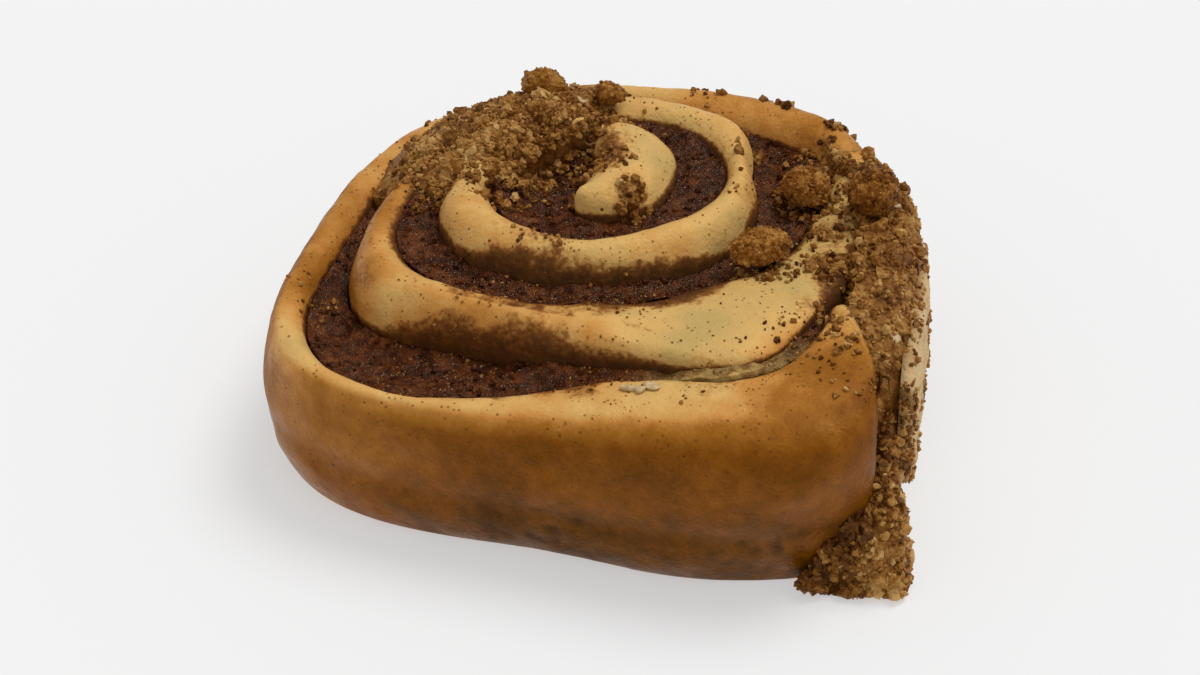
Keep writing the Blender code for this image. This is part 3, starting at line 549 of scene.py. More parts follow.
def search_rim(turn):
    """Find the distance from the eye to the outer face of the roll."""
    east, north = heading(turn)
    near = np.full(np.shape(east), RIM_SEARCH[0])
    far = np.full(np.shape(east), RIM_SEARCH[1])
    right = np.where(turn < HALF_TURN, REACH_RIGHT_TAIL, REACH_RIGHT_SIDE)
    for _ in range(BISECTIONS):
        radius = (near + far) / 2.0
        dx = EYE[0] + radius * east - MIDDLE[0]
        dy = EYE[1] + radius * north - MIDDLE[1]
        x = dx * math.cos(TWIST) + dy * math.sin(TWIST)
        y = dy * math.cos(TWIST) - dx * math.sin(TWIST)
        front = np.where(x > 0, SQUARE_FRONT_RIGHT, SQUARE_FRONT_LEFT)
        back = np.where(x > 0, SQUARE_BACK_RIGHT, SQUARE_BACK_LEFT)
        power = np.where(y > 0, back, front)
        wide = np.abs(x) / np.where(x > 0, right, REACH_LEFT)
        deep = np.abs(y) / np.where(y > 0, REACH_BACK, REACH_FRONT)
        inside = wide ** power + deep ** power < 1.0
        near = np.where(inside, radius, near)
        far = np.where(inside, far, radius)
    return radius


RIM = search_rim(RIM_TURNS)


def rim(turn):
    """Distance from the eye to the outer face of the roll."""
    return np.interp(turn, RIM_TURNS, RIM)


def groove(turn):
    """Distance from the eye to the middle of the groove inside the wrap at this turn."""
    turn = np.asarray(turn, float)
    first = np.minimum(turn, 1.0)
    return np.where(turn < 1.0, rim(first) - along(OUTER_BAND, first),
                    along(GROOVE_RADIUS, np.maximum(turn - 1.0, 0.0)))


def half_gap(turn):
    """Half the distance between the wraps on the two sides of the groove at this turn."""
    added = sum(extra * bell(turn, place, reach) for place, reach, extra in POOLS)
    return (GROOVE_WIDTH + added) / 2.0


def base_spread(turn):
    """How far each wrap comes back towards its neighbour at the base, under a wide groove."""
    return BASE_CLOSING * (half_gap(turn) - GROOVE_WIDTH / 2.0)


def roundness(turn):
    """Power of the shoulders beside the groove at this turn, high where only a seam shows."""
    return TOP_ROUNDNESS + SEAM_SHARPNESS * bell(turn, SEAM_TURN, SEAM_REACH)


def covered(turn):
    """0 where the strip's outer side is the outside of the roll, 1 where a wrap lies on it."""
    return smooth_step(turn, COVER_START, COVER_END)


def outer_bound(turn):
    """Distance from the eye to the groove or the outside that bounds the strip."""
    before = np.maximum(turn - 1.0, 0.0)
    share = covered(turn)
    return rim(np.minimum(turn, 1.0)) * (1.0 - share) + (groove(before) - half_gap(before)) * share


def tip_share(turn):
    """What is left of the strip's thickness near its inner end, from 1 down to 0."""
    share = np.clip((turn - TIP_START) / (TIP_TURN - TIP_START), 0.0, 1.0)
    return (1.0 - share ** TIP_BLUNTNESS) ** (1.0 / TIP_BLUNTNESS)


def outer_side(turn):
    """Distance from the eye to the outer side of the strip, which draws in at its inner end."""
    return outer_bound(turn) - TIP_DRAW * (1.0 - tip_share(turn))


def inner_side(turn):
    """Distance from the eye to the inner side of the strip, which closes at its inner end."""
    width = outer_bound(turn) - groove(turn) - half_gap(turn)
    return outer_side(turn) - width * np.maximum(tip_share(turn), TIP_LEAST)


def crest_height(turn):
    """Height of the strip's top, which falls away at its inner end."""
    return along(CREST, turn) - TIP_DROP * (1.0 - tip_share(turn))


def corner(turn):
    """1 at the tail's lower corner, fading to 0 away from it."""
    return bell(turn, CORNER_TURN, CORNER_REACH)


def base_draw(turn):
    """How much further the wall's base draws in at this turn."""
    return sum(extra * bell(turn, place, reach) for place, reach, extra in BASE_DRAWS)


def outer_foot(turn):
    """Height where the outer side starts to round over."""
    share = covered(turn)
    inside = along(FILL_LEVEL, np.maximum(turn - 1.0, 0.0)) - FOOT_BELOW_FILL
    return inside * share + (BULGE_HEIGHT + CORNER_HEIGHT * corner(turn)) * (1.0 - share)


def inner_foot(turn):
    """Height where the inner side starts to round over."""
    return along(FILL_LEVEL, turn) - FOOT_BELOW_FILL


def outer_roundness(turn):
    """Power of the strip's outer shoulder."""
    share = covered(turn)
    return SIDE_ROUNDNESS * (1.0 - share) + roundness(np.maximum(turn - 1.0, 0.0)) * share


def quarter(count, power):
    """Points on a quarter of a rounded square, from its side to its top, as inset and rise."""
    angle = np.linspace(0.0, math.pi / 2.0, count)
    return 1.0 - np.abs(np.cos(angle)) ** (2.0 / power), np.sin(angle) ** (2.0 / power)


def shoulder_inset(height, foot, crest, power):
    """How far a shoulder has drawn in at a height, as a share of its width."""
    rise = np.clip((height - foot) / (crest - foot), 0.0, 1.0)
    return 1.0 - (1.0 - rise ** power) ** (1.0 / power)


LATTICE = np.random.default_rng(SEED).uniform(-1.0, 1.0, (LATTICE_SIZE,) * 3 + (4,))


def field(points, spacing, layer=0):
    """Smooth noise from -1 to 1 with features of a given size, a different one for each layer."""
    place = points / spacing + LAYER_SHIFT * layer
    cell = np.floor(place).astype(int)
    part = place - cell
    part = part * part * (3.0 - 2.0 * part)
    total = np.zeros(len(points))
    for step in itertools.product((0, 1), repeat=3):
        index = (cell + step) % LATTICE_SIZE
        value = LATTICE[index[:, 0], index[:, 1], index[:, 2], 3]
        total += value * np.prod(np.where(step, part, 1.0 - part), axis=1)
    return total


def noise(points, rows):
    """Sum of smooth noise, given as amount, feature size and layer."""
    return sum(amount * field(points, spacing, layer) for amount, spacing, layer in rows)


def cells(points, spacing, layer=0):
    """Distance to the nearest of scattered points, as a share of their spacing."""
    place = points / spacing + CELL_LAYER_SHIFT * layer
    cell = np.floor(place).astype(int)
    nearest = np.full(len(points), FARTHEST_SQUARED)
    for step in itertools.product((-1, 0, 1), repeat=3):
        index = (cell + step) % LATTICE_SIZE
        spot = cell + step + 0.5 + CELL_SPREAD * LATTICE[index[:, 0], index[:, 1], index[:, 2], :3]
        nearest = np.minimum(nearest, ((place - spot) ** 2).sum(axis=1))
    return np.sqrt(nearest)


def knobs(points, spacing, layer):
    """1 in the middle of scattered round knobs, down to 0 between them."""
    return 1.0 - np.minimum(cells(points, spacing, layer), 1.0)


def patches(points, rows):
    """Sum of soft round patches, given as X, Y, radius and amount."""
    total = np.zeros(len(points))
    for x, y, radius, amount in rows:
        distance = (points[:, 0] - x) ** 2 + (points[:, 1] - y) ** 2
        total += amount * np.exp(-distance / radius ** 2)
    return total


def closed_tube(rows, columns, first=0):
    """Quads between neighbouring rings of points, and a face on the first and on the last ring."""
    row, column = np.meshgrid(np.arange(rows - 1), np.arange(columns), indexing="ij")
    here = row.ravel() * columns + column.ravel()
    after = row.ravel() * columns + (column.ravel() + 1) % columns
    sides = np.stack([here, after, after + columns, here + columns], 1) + first
    ring = np.arange(columns)[None]
    return [sides, ring + first, ring + first + (rows - 1) * columns]


def grid_normals(grid):
    """Unit normals of a grid of points whose columns go round."""
    down = np.gradient(grid, axis=0)
    across = (np.roll(grid, -1, axis=1) - np.roll(grid, 1, axis=1)) / 2.0
    normal = np.cross(across, down)
    length = np.linalg.norm(normal, axis=2, keepdims=True)
    return normal / np.maximum(length, 1e-9)


def facing_out(points, normals, middle):
    """Normals of a closed form, all turned over where they point towards its middle."""
    return -normals if ((points - middle) * normals).sum() < 0.0 else normals


def make_piece(name, points, faces, material, node, values=None, recalculate=True, smooth=True):
    """A piece from points in millimetres, riding on the roll, in place of a CAD node if one is named."""
    low, high = (np.array(corner) / METRE for corner in cad_box)
    points = np.clip(points, low, high)
    mesh = bpy.data.meshes.new(name)
    corners = np.concatenate([group.ravel() for group in faces]).astype(np.int32)
    totals = np.concatenate([np.full(len(group), group.shape[1]) for group in faces])
    mesh.vertices.add(len(points))
    mesh.vertices.foreach_set("co", (points * METRE).astype(np.float32).ravel())
    mesh.loops.add(len(corners))
    mesh.loops.foreach_set("vertex_index", corners)
    mesh.polygons.add(len(totals))
    mesh.polygons.foreach_set("loop_start", (np.cumsum(totals) - totals).astype(np.int32))
    mesh.update(calc_edges=True)
    for key, numbers in (values or {}).items():
        layer = mesh.attributes.new(key, "FLOAT", "POINT")
        layer.data.foreach_set("value", np.asarray(numbers, np.float32))
    if recalculate:
        work = bmesh.new()
        work.from_mesh(mesh)
        bmesh.ops.recalc_face_normals(work, faces=work.faces[:])
        work.to_mesh(mesh)
        work.free()
    if smooth:
        mesh.shade_smooth()
    else:
        mesh.shade_flat()
    mesh.materials.append(material)
    piece = bpy.data.objects.new(name, mesh)
    bpy.context.scene.collection.objects.link(piece)
    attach(piece, "root")
    if node:
        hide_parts(node)
    return piece


def dough_profile(turn, width):
    """The strip's section from its outer base over the crest to its inner base: inset and height."""
    crest = crest_height(turn)
    low = outer_foot(turn)
    share = covered(turn)
    undercut = BASE_UNDERCUT + CORNER_UNDERCUT * corner(turn) + base_draw(turn)
    undercut = undercut * (1.0 - share) - base_spread(np.maximum(turn - 1.0, 0.0)) * share
    points = []
    inset, rise = quarter(BASE_POINTS, BASE_ROUNDNESS - CORNER_SLACK * corner(turn))
    for back, up in zip(inset[::-1], rise[::-1]):
        points.append((undercut * back, low * (1.0 - up)))
    inset, rise = quarter(OUTER_POINTS + 1, outer_roundness(turn))
    for back, up in zip(inset[1:], rise[1:]):
        points.append((CREST_PLACE * width * back, low + (crest - low) * up))
    low = inner_foot(turn)
    inset, rise = quarter(INNER_POINTS + 1, roundness(turn))
    for back, up in zip(inset[-2::-1], rise[-2::-1]):
        points.append((width - (1.0 - CREST_PLACE) * width * back, low + (crest - low) * up))
    foot = width + base_spread(turn)
    for step in range(1, SIDE_POINTS):
        share = step / SIDE_POINTS
        points.append((width + (foot - width) * share, low * (1.0 - share)))
    for step in range(FLOOR_POINTS):
        share = step / FLOOR_POINTS
        points.append((foot + (undercut - foot) * share, 0.0))
    return np.array(points)


def dough_section(turn):
    """Points of the strip's section at a place in the roll."""
    lean = TAIL_SHEAR * (1.0 - smooth_step(turn, TAIL_TURN, TAIL_SHEAR_END))
    outer = outer_side(turn + lean)
    width = outer - inner_side(turn)
    profile = dough_profile(turn, width)
    east, north = heading(turn + lean * (1.0 - profile[:, 0] / width))
    radius = outer - profile[:, 0]
    return np.stack([EYE[0] + radius * east, EYE[1] + radius * north, profile[:, 1]], 1)


def dough_turns():
    """Places of the strip's sections, closer together at its inner end."""
    turns = [TAIL_TURN]
    while turns[-1] < TIP_START:
        radius = max(float(outer_side(turns[-1])), LEAST_RADIUS)
        turns.append(turns[-1] + STATION_SPACING / (2.0 * math.pi * radius))
    angle = np.linspace(0.0, math.pi / 2.0, TIP_RINGS)[1:]
    tip = TIP_START + (TIP_TURN - TIP_START) * np.sin(angle)
    return np.concatenate([turns[:-1], tip])


def tail_nose(section):
    """Rings that round off the strip's outer end, from the blunt tip to the first section."""
    centre = section.mean(axis=0)
    centre[2] = TAIL_NOSE_CENTRE
    across = section[-FLOOR_POINTS] - section[0]
    ahead = np.array([-across[1], across[0], 0.0]) / math.hypot(across[0], across[1])
    rings = []
    for angle in np.linspace(NOSE_LAST, 0.0, NOSE_RINGS, endpoint=False):
        scale = math.cos(angle) ** NOSE_POWER
        rings.append(centre + (section - centre) * scale + ahead * TAIL_NOSE * math.sin(angle))
    return rings


def wrinkles(points, outside):
    """1 in the small wrinkles low on the wall, 0 elsewhere."""
    inside = WRINKLE_SIZE - cells(points * WRINKLE_STRETCH, WRINKLE_SPACING, 3)
    below = smooth_step(WRINKLE_TOP - points[:, 2], 0.0, WRINKLE_TOP_FADE)
    above = smooth_step(points[:, 2], *WRINKLE_FOOT)
    group = smooth_step(field(points, WRINKLE_GROUP_SPACING, 6), *WRINKLE_GROUP_EDGE)
    return smooth_step(inside, 0.0, WRINKLE_SOFTNESS) * (below * above * outside) * group


def dough_relief(points, outside):
    """How far the dough's surface stands out from its plain form."""
    relief = noise(points, DOUGH_RELIEF)
    pores = smooth_step(PORE_SIZE - cells(points, PORE_SPACING), 0.0, PORE_SIZE)
    deep = smooth_step(field(points, PORE_GROUP_SPACING, 9), 0.0, PORE_GROUP_EDGE)
    relief -= PORE_DEPTH * pores * deep
    band = bell(points[:, 2], CRUST_DENT_HEIGHT, CRUST_DENT_REACH) * outside
    front = smooth_step(-points[:, 1], *CRUST_DENT_FRONT)
    mean, uneven = CRUST_DENT_SHARES
    relief -= CRUST_DENT * band * front * (mean + uneven * field(points, CRUST_DENT_SPACING, 5))
    return relief - WRINKLE_DEPTH * wrinkles(points, outside) - DOUGH_INSET


def dough_values(points, turn, outer_half, outside):
    """Browning, with painted light on the outside's left and right and painted shade in its wrinkles, and
    cinnamon coating of the dough at each point.
    """
    crest = crest_height(turn)
    side = np.interp(points[:, 2] * SIDE_BAKE_CREST / crest, SIDE_BAKE_HEIGHT, SIDE_BAKE)
    # Painted light: the outside is made paler towards its left and right, where more light falls on it.
    side = side - SIDE_PAINTED_LIGHT_LEFT * smooth_step(-points[:, 0], *SIDE_PAINTED_LIGHT_LEFT_REACH)
    side = side - SIDE_PAINTED_LIGHT_RIGHT * smooth_step(points[:, 0], *SIDE_PAINTED_LIGHT_RIGHT_REACH)
    top = TOP_BAKE + OUTER_TOP_BAKE * outside * smooth_step(crest - points[:, 2], 0.0, TOP_BAKE_FADE)
    top += patches(points, BAKE_PATCHES)
    top += noise(points, TOP_UNEVEN)
    share = outside * smooth_step(crest - points[:, 2], 0.0, SIDE_BAKE_FADE)
    # Painted shade: the wrinkles low on the wall are drawn darker.
    bake_and_painted_light = top * (1.0 - share) + side * share + WRINKLE_PAINTED_SHADE * wrinkles(points + BASE_CENTRE, outside)
    level = np.where(outer_half, along(FILL_LEVEL, np.maximum(turn - 1.0, 0.0)), along(FILL_LEVEL, turn))
    reach = COAT_HEIGHT + np.where(outer_half, 1.0, COAT_INNER_SHARE) * patches(points, COAT_PATCHES)
    above = points[:, 2] - level
    reach = reach * (1.0 + noise(points, COAT_UNEVEN))
    coat = 1.0 - np.clip(above / np.maximum(reach, COAT_LEAST), 0.0, 1.0) ** COAT_SHARPNESS
    coat = np.where(outer_half & (outside > 0.5), 0.0, coat)
    stain = patches(points, STAINS) * smooth_step(points[:, 2] - crest, *STAIN_FADE)
    return np.clip(bake_and_painted_light, 0.0, 1.0), np.clip(np.maximum(coat, stain), 0.0, 1.0)


def make_dough(material):
    """The strip of dough with its relief, from its rounded tail to its inner tip."""
    turns = dough_turns()
    sections = [dough_section(turn) for turn in turns]
    nose = tail_nose(sections[0])
    grid = np.array(nose + sections)
    turns = np.concatenate([np.full(len(nose), turns[0]), turns])
    rows, columns = grid.shape[:2]
    turn = np.repeat(turns, columns)
    place = np.tile(np.arange(columns), rows)
    outer_half = place < BASE_POINTS + OUTER_POINTS - 2
    outside = np.where(outer_half, 1.0 - covered(turn), 0.0)
    outside = np.maximum(outside, np.repeat(np.arange(rows) < len(nose), columns) * 1.0)
    normals = grid_normals(grid).reshape(-1, 3)
    points = grid.reshape(-1, 3)
    normals = facing_out(points, normals, np.repeat(grid.mean(axis=1), columns, axis=0))
    fade = smooth_step(points[:, 2], 0.0, BASE_FADE)[:, None]
    moved = points + normals * dough_relief(points, outside)[:, None] * fade
    moved[:, 2] = np.maximum(moved[:, 2], 0.0)
    bake_and_painted_light, coat = dough_values(points - BASE_CENTRE, turn, outer_half, outside)
    faces = closed_tube(rows, columns)
    values = {"bake_and_painted_light": bake_and_painted_light, "coat": coat}
    piece = make_piece("dough_skin", moved - BASE_CENTRE, faces, material, "dough", values)
    return moved - BASE_CENTRE, faces


def filling_side(top, face, at_base, width, foot, crest, power):
    """One side of the filling's section, from its base up a wrap's face and shoulder to its top."""
    points = [(face + at_base, 0.0), (face, foot)]
    for share in SHOULDER_SHARES:
        height = foot + (top - foot) * share
        points.append((face + width * shoulder_inset(height, foot, crest, power), height))
    return points


def filling_section(turn):
    """Section of the filling between the wrap at this turn and the next one inwards."""
    inward = turn + 1.0
    top = along(FILL_LEVEL, turn)
    width = (1.0 - CREST_PLACE) * (outer_side(turn) - inner_side(turn))
    next_width = -CREST_PLACE * (outer_side(inward) - inner_side(inward))
    points, far_side = (
        filling_side(top, inner_side(turn) + FILL_OVERLAP, -base_spread(turn), width,
                     inner_foot(turn), crest_height(turn), roundness(turn)),
        filling_side(top, outer_side(inward) - FILL_OVERLAP, base_spread(turn) * covered(inward), next_width,
                     outer_foot(inward), crest_height(inward), outer_roundness(inward)))
    edge, far_edge = points[-1][0], far_side[-1][0]
    for share in np.linspace(0.0, 1.0, FILL_TOP_POINTS + 2)[1:-1]:
        points.append((edge + (far_edge - edge) * share, top - FILL_SAG * math.sin(math.pi * share)))
    points += far_side[::-1]
    east, north = heading(turn)
    return np.array([(EYE[0] + radius * east, EYE[1] + radius * north, height)
                     for radius, height in points])


def filling_relief(points):
    """Height of the sticky grains that the filling's surface is made of."""
    coarse = knobs(points, FILL_GRAIN_SPACING, 1) - FILL_GRAIN_MEAN
    fine = knobs(points, FILL_FINE_SPACING, 2) - FILL_FINE_MEAN
    return (FILL_GRAIN_HEIGHT * coarse + FILL_FINE_SHARE * FILL_GRAIN_HEIGHT * fine
            + noise(points, FILL_LUMPS) + patches(points, (HOLLOW,)))


def closed_share(points):
    """How far the groove is closed by dough at each point, from 0 to 1."""
    return np.clip(patches(points, CLOSED_GROOVE), 0.0, 1.0)


def make_filling(material):
    """The filling's top and sides, and its round end in the eye of the coil."""
    count = int((TIP_TURN - 1.0 - FILL_START) * FILL_STATIONS_PER_TURN)
    strip = np.array([filling_section(turn) for turn in np.linspace(FILL_START, FILL_END, count)])
    rows, columns = strip.shape[:2]
    points = strip.reshape(-1, 3) - BASE_CENTRE
    place = np.tile(np.arange(columns), rows)
    on_top = (place >= FILL_SIDE_POINTS) & (place < columns - FILL_SIDE_POINTS)
    points[:, 2] += np.where(on_top, filling_relief(points), 0.0)
    faces = closed_tube(rows, columns)
    turns = np.linspace(TIP_TURN - 1.0, TIP_TURN, HUB_SECTORS)
    east, north = heading(turns)
    reach = inner_side(turns) + FILL_OVERLAP
    rings = []
    for share in np.linspace(HUB_LEAST, 1.0, HUB_RINGS):
        rim_share = smooth_step(share, 1.0 - HUB_EDGE / HUB_REACH, 1.0)
        level = HUB_LEVEL - FILL_SAG + (FILL_SAG - HUB_RIM_DROP) * rim_share
        rings.append(np.stack([EYE[0] + reach * share * east, EYE[1] + reach * share * north,
                               np.full(HUB_SECTORS, level)], 1))
    hub_top = np.array(rings).reshape(-1, 3) - BASE_CENTRE
    hub_top[:, 2] += filling_relief(hub_top)
    foot = rings[-1] * (1.0, 1.0, 0.0)
    skirt = np.array([foot + (0.0, 0.0, HUB_SKIRT_HEIGHT), foot]).reshape(-1, 3) - BASE_CENTRE
    faces += closed_tube(HUB_RINGS + 2, HUB_SECTORS, len(points))
    points = np.concatenate([points, hub_top, skirt])
    wet = np.clip(FILL_WETNESS + noise(points, FILL_WET_UNEVEN), 0.0, 1.0)
    closed = closed_share(points)
    points[:, 2] += np.where(points[:, 2] > CLOSED_LEAST, CLOSED_RISE * closed, 0.0)
    values = {"wet": wet, "dough": closed}
    piece = make_piece("filling_skin", points, faces, material, "filling", values)
    return points, [np.concatenate([group for group in faces if group.shape[1] == 4])]


def top_height(x, y):
    """Height of the roll's top, smoothed over the grooves."""
    bearing = (-math.atan2(y - EYE[1], x - EYE[0]) / (2.0 * math.pi)) % 1.0
    distance = math.hypot(x - EYE[0], y - EYE[1])
    turns = np.array([bearing + lap for lap in (3, 2, 1, 0)])
    turns = turns[(turns > TAIL_TURN) & (turns < TIP_TURN)]
    crests = [float(outer_side(turn) + (inner_side(turn) - outer_side(turn)) * CREST_PLACE)
              for turn in turns]
    return float(np.interp(distance, crests, [float(crest_height(turn)) for turn in turns]))


def heap_outline(angle):
    """Reach of the heap in a direction, as a share of its half sizes."""
    total = 1.0
    for bearing, width, amount in HEAP_BULGES:
        turned = math.cos(angle - math.radians(bearing)) - 1.0
        total += amount * math.exp(2.0 * turned / math.radians(width) ** 2)
    return total


def heap_point(angle, share):
    """Place in plan of a point of the heap."""
    reach = heap_outline(angle) * share
    forward = HEAP_HALF_LENGTH * reach * math.cos(angle)
    sideways = HEAP_HALF_WIDTH * reach * math.sin(angle)
    x = HEAP_PLACE[0] + forward * math.cos(HEAP_ANGLE) - sideways * math.sin(HEAP_ANGLE)
    y = HEAP_PLACE[1] + forward * math.sin(HEAP_ANGLE) + sideways * math.cos(HEAP_ANGLE)
    return x, y


def heap_core():
    """The heap under its loose grains, as points and faces."""
    rings = []
    angles = np.linspace(0.0, 2.0 * math.pi, HEAP_SECTORS, endpoint=False)
    for share in np.linspace(1.0, HEAP_LEAST, HEAP_RINGS):
        places = [heap_point(angle, share) for angle in angles]
        if share == 1.0:
            rings.append([(x, y, top_height(x, y) - HEAP_SINK) for x, y in places])
        rise = HEAP_THICKNESS * (1.0 - share ** HEAP_PROFILE) - HEAP_EDGE_SINK - CORE_INSET
        rings.append([(x, y, top_height(x, y) + rise) for x, y in places])
    points = np.array(rings).reshape(-1, 3) - BASE_CENTRE
    points[HEAP_SECTORS:, 2] += core_relief(points[HEAP_SECTORS:])
    return points, closed_tube(len(rings), HEAP_SECTORS)


def core_relief(points):
    """Lumps of packed streusel under the loose grains."""
    height, spacing = CORE_LUMPS
    return height * (knobs(points, spacing, 4) - 0.5) + noise(points, CORE_UNEVEN)


def bank_ring(y, inner, outer, top_outer, height):
    """Section of the bank across X."""
    waist = outer + (top_outer - outer) * BANK_WAIST_SLOPE
    cover = min(inner, top_outer - BANK_TOP_WIDTH) if height > BANK_FULL_HEIGHT else inner
    low = max(height - BANK_INNER_DEPTH, height * BANK_LEAST_INNER)
    shoulder = max(height - BANK_SHOULDER, height * BANK_LEAST_SHOULDER)
    inner_bevel, outer_bevel = BANK_BEVEL
    return [(inner, y, 0.0), (outer, y, 0.0), (outer + BANK_TOE_SWELL, y, height * BANK_TOE),
            (waist, y, height * BANK_WAIST), (top_outer, y, shoulder),
            (top_outer - outer_bevel, y, height), (cover + inner_bevel, y, height), (cover, y, low)]


def bank_core():
    """The bank under its loose grains, as points and faces."""
    rings = []
    for y in np.linspace(BANK[0, 0], BANK[-1, 0], BANK_ROWS):
        row = [np.interp(y, BANK[:, 0], BANK[:, column]) for column in range(1, 5)]
        corners = np.array(bank_ring(y, *row))
        ring = []
        for here, there in zip(corners, np.roll(corners, -1, axis=0)):
            ring += [here + (there - here) * step / BANK_STEPS for step in range(BANK_STEPS)]
        rings.append(ring)
    grid = np.array(rings)
    ends = [[ring.mean(axis=0) + share * (ring - ring.mean(axis=0)) for share in BANK_END_SHARES]
            for ring in (grid[0], grid[-1])]
    grid = np.concatenate([ends[0], grid, ends[1][::-1]])
    points = grid.reshape(-1, 3) - BASE_CENTRE
    normals = facing_out(points, grid_normals(grid).reshape(-1, 3), BANK_MIDDLE)
    toe = 1.0 + TOE_LUMPS * smooth_step(-points[:, 1], *TOE_LUMPS_FRONT)
    points = points + normals * (toe * core_relief(points) - CORE_INSET)[:, None]
    edge = smooth_step(-points[:, 1], *TOE_EDGE)
    points[:, 1] += edge * (TOE_NOTCH + TOE_NOTCH * field(points, TOE_NOTCH_SPACING, 10))
    points[:, 2] = np.maximum(points[:, 2], 0.0)
    return points, closed_tube(*grid.shape[:2])


def ball(subdivisions):
    """Points and triangles of a round grain of radius 1."""
    work = bmesh.new()
    bmesh.ops.create_icosphere(work, subdivisions=subdivisions + 1, radius=1.0)
    points = np.array([vert.co for vert in work.verts])
    faces = np.array([[vert.index for vert in face.verts] for face in work.faces])
    work.free()
    return points, [faces]


def grains(centres, sizes, tones, subdivisions, random):
    """Rough grains at their places, as points, faces and each point's tone."""
    points, faces = ball(subdivisions)
    count = len(centres)
    bumps = random.normal(0.0, 1.0, (count, len(points), 1)).clip(-GRAIN_UNEVEN_MOST, GRAIN_UNEVEN_MOST)
    rough = 1.0 + GRAIN_UNEVENNESS * bumps
    stretch = random.uniform(1.0 - GRAIN_STRETCH, 1.0 + GRAIN_STRETCH, (count, 1, 3))
    four = random.normal(0.0, 1.0, (count, 4))
    w, x, y, z = (four / np.linalg.norm(four, axis=1, keepdims=True)).T
    spin = np.array([[1 - 2 * (y * y + z * z), 2 * (x * y - w * z), 2 * (x * z + w * y)],
                     [2 * (x * y + w * z), 1 - 2 * (x * x + z * z), 2 * (y * z - w * x)],
                     [2 * (x * z - w * y), 2 * (y * z + w * x), 1 - 2 * (x * x + y * y)]])
    shaped = points[None] * rough * stretch * sizes[:, None, None]
    turned = np.einsum("ijn,npj->npi", spin, shaped) + centres[:, None, :]
    offsets = (np.arange(count) * len(points))[:, None, None]
    all_faces = [(faces[0][None] + offsets).reshape(-1, 3)]
    return turned.reshape(-1, 3), all_faces, np.repeat(tones, len(points))


def join(parts):
    """Several sets of points, faces and tones as one."""
    points, faces, tones = [], [], []
    first = 0
    for part_points, part_faces, part_tones in parts:
        points.append(part_points)
        faces += [group + first for group in part_faces]
        tones.append(part_tones)
        first += len(part_points)
    return np.concatenate(points), faces, np.concatenate(tones)


def spread(points, faces, count, random, weight):
    """Random places on a surface, closer together where the weight is high, with their normals."""
    triangles = np.concatenate([faces[0][:, [0, 1, 2]], faces[0][:, [0, 2, 3]]])
    a, b, c = (points[triangles[:, k]] for k in range(3))
    cross = np.cross(b - a, c - a)
    area = np.linalg.norm(cross, axis=1)
    chance = area * weight((a + b + c) / 3.0, cross / np.maximum(area, 1e-9)[:, None])
    chosen = random.choice(len(area), count, p=chance / chance.sum())
    u, v = random.uniform(0.0, 1.0, (2, count))
    over = u + v > 1.0
    u, v = np.where(over, 1.0 - u, u)[:, None], np.where(over, 1.0 - v, v)[:, None]
    places = a[chosen] + u * (b - a)[chosen] + v * (c - a)[chosen]
    return places, cross[chosen] / area[chosen][:, None]


def in_box(centres, sizes):
    """Which grains lie inside the roll's box and above what it rests on."""
    low, high = (np.array(corner) / METRE for corner in cad_box)
    reach = (sizes * GRAIN_REACH)[:, None]
    return ((centres - reach > low - BOX_SLACK) & (centres + reach < high)).all(axis=1)


def outward(places, normals, middle):
    """Normals that all point away from the middle of their solid."""
    flip = ((places - middle) * normals).sum(axis=1) < 0.0
    return np.where(flip[:, None], -normals, normals)


def covered_core(core, kinds, random, middle, weight, tone_shift=0.0):
    """A core with its loose grains on it, as points, faces and tones."""
    points, faces = core
    tones = CORE_TONE + GRAIN_TONE_SPREAD * field(points, CORE_TONE_SPACING, 6)
    tones += CLUMP_TONE * field(points, CLUMP_SPACING, 7)
    tones += patches(points, TONE_PATCHES)
    parts = [(points, faces, tones)]
    for count, least, most, subdivisions in kinds:
        places, normals = spread(points, faces, count, random, weight)
        normals = outward(places, normals, middle)
        sizes = random.uniform(least, most, count)
        centres = places + normals * (sizes * random.uniform(-GRAIN_SINK, GRAIN_RISE, count))[:, None]
        centres[:, 2] = np.maximum(centres[:, 2], GRAIN_REACH * sizes)
        keep = in_box(centres, sizes)
        tones = GRAIN_TONE + tone_shift + GRAIN_TONE_SPREAD * random.normal(0.0, 1.0, count)
        tones += CLUMP_TONE * field(centres, CLUMP_SPACING, 7)
        tones += PALE_TONE * (random.uniform(0.0, 1.0, count) < PALE_SHARE)
        tones -= FOOT_TONE * smooth_step(-centres[:, 2], -FOOT_HEIGHT, 0.0)
        tones += patches(centres, TONE_PATCHES)
        tones = np.clip(tones, 0.0, 1.0)
        parts.append(grains(centres[keep], sizes[keep], tones[keep], subdivisions, random))
    return join(parts)


def make_heap(material, random):
    """The streusel heap with its grains."""
    core = heap_core()
    middle = np.array([*HEAP_PLACE, HEAP_MIDDLE_HEIGHT]) - BASE_CENTRE

    def weight(centre, normal):
        return np.abs(normal[:, 2]) ** HEAP_STEEPNESS * (centre[:, 2] > HEAP_GRAIN_HEIGHT)

    points, faces, tones = covered_core(core, HEAP_GRAINS, random, middle, weight)
    piece = make_piece("streusel_heap_grains", points, faces, material, "streusel_heap", {"tone": tones},
                       recalculate=False, smooth=False)
    return core


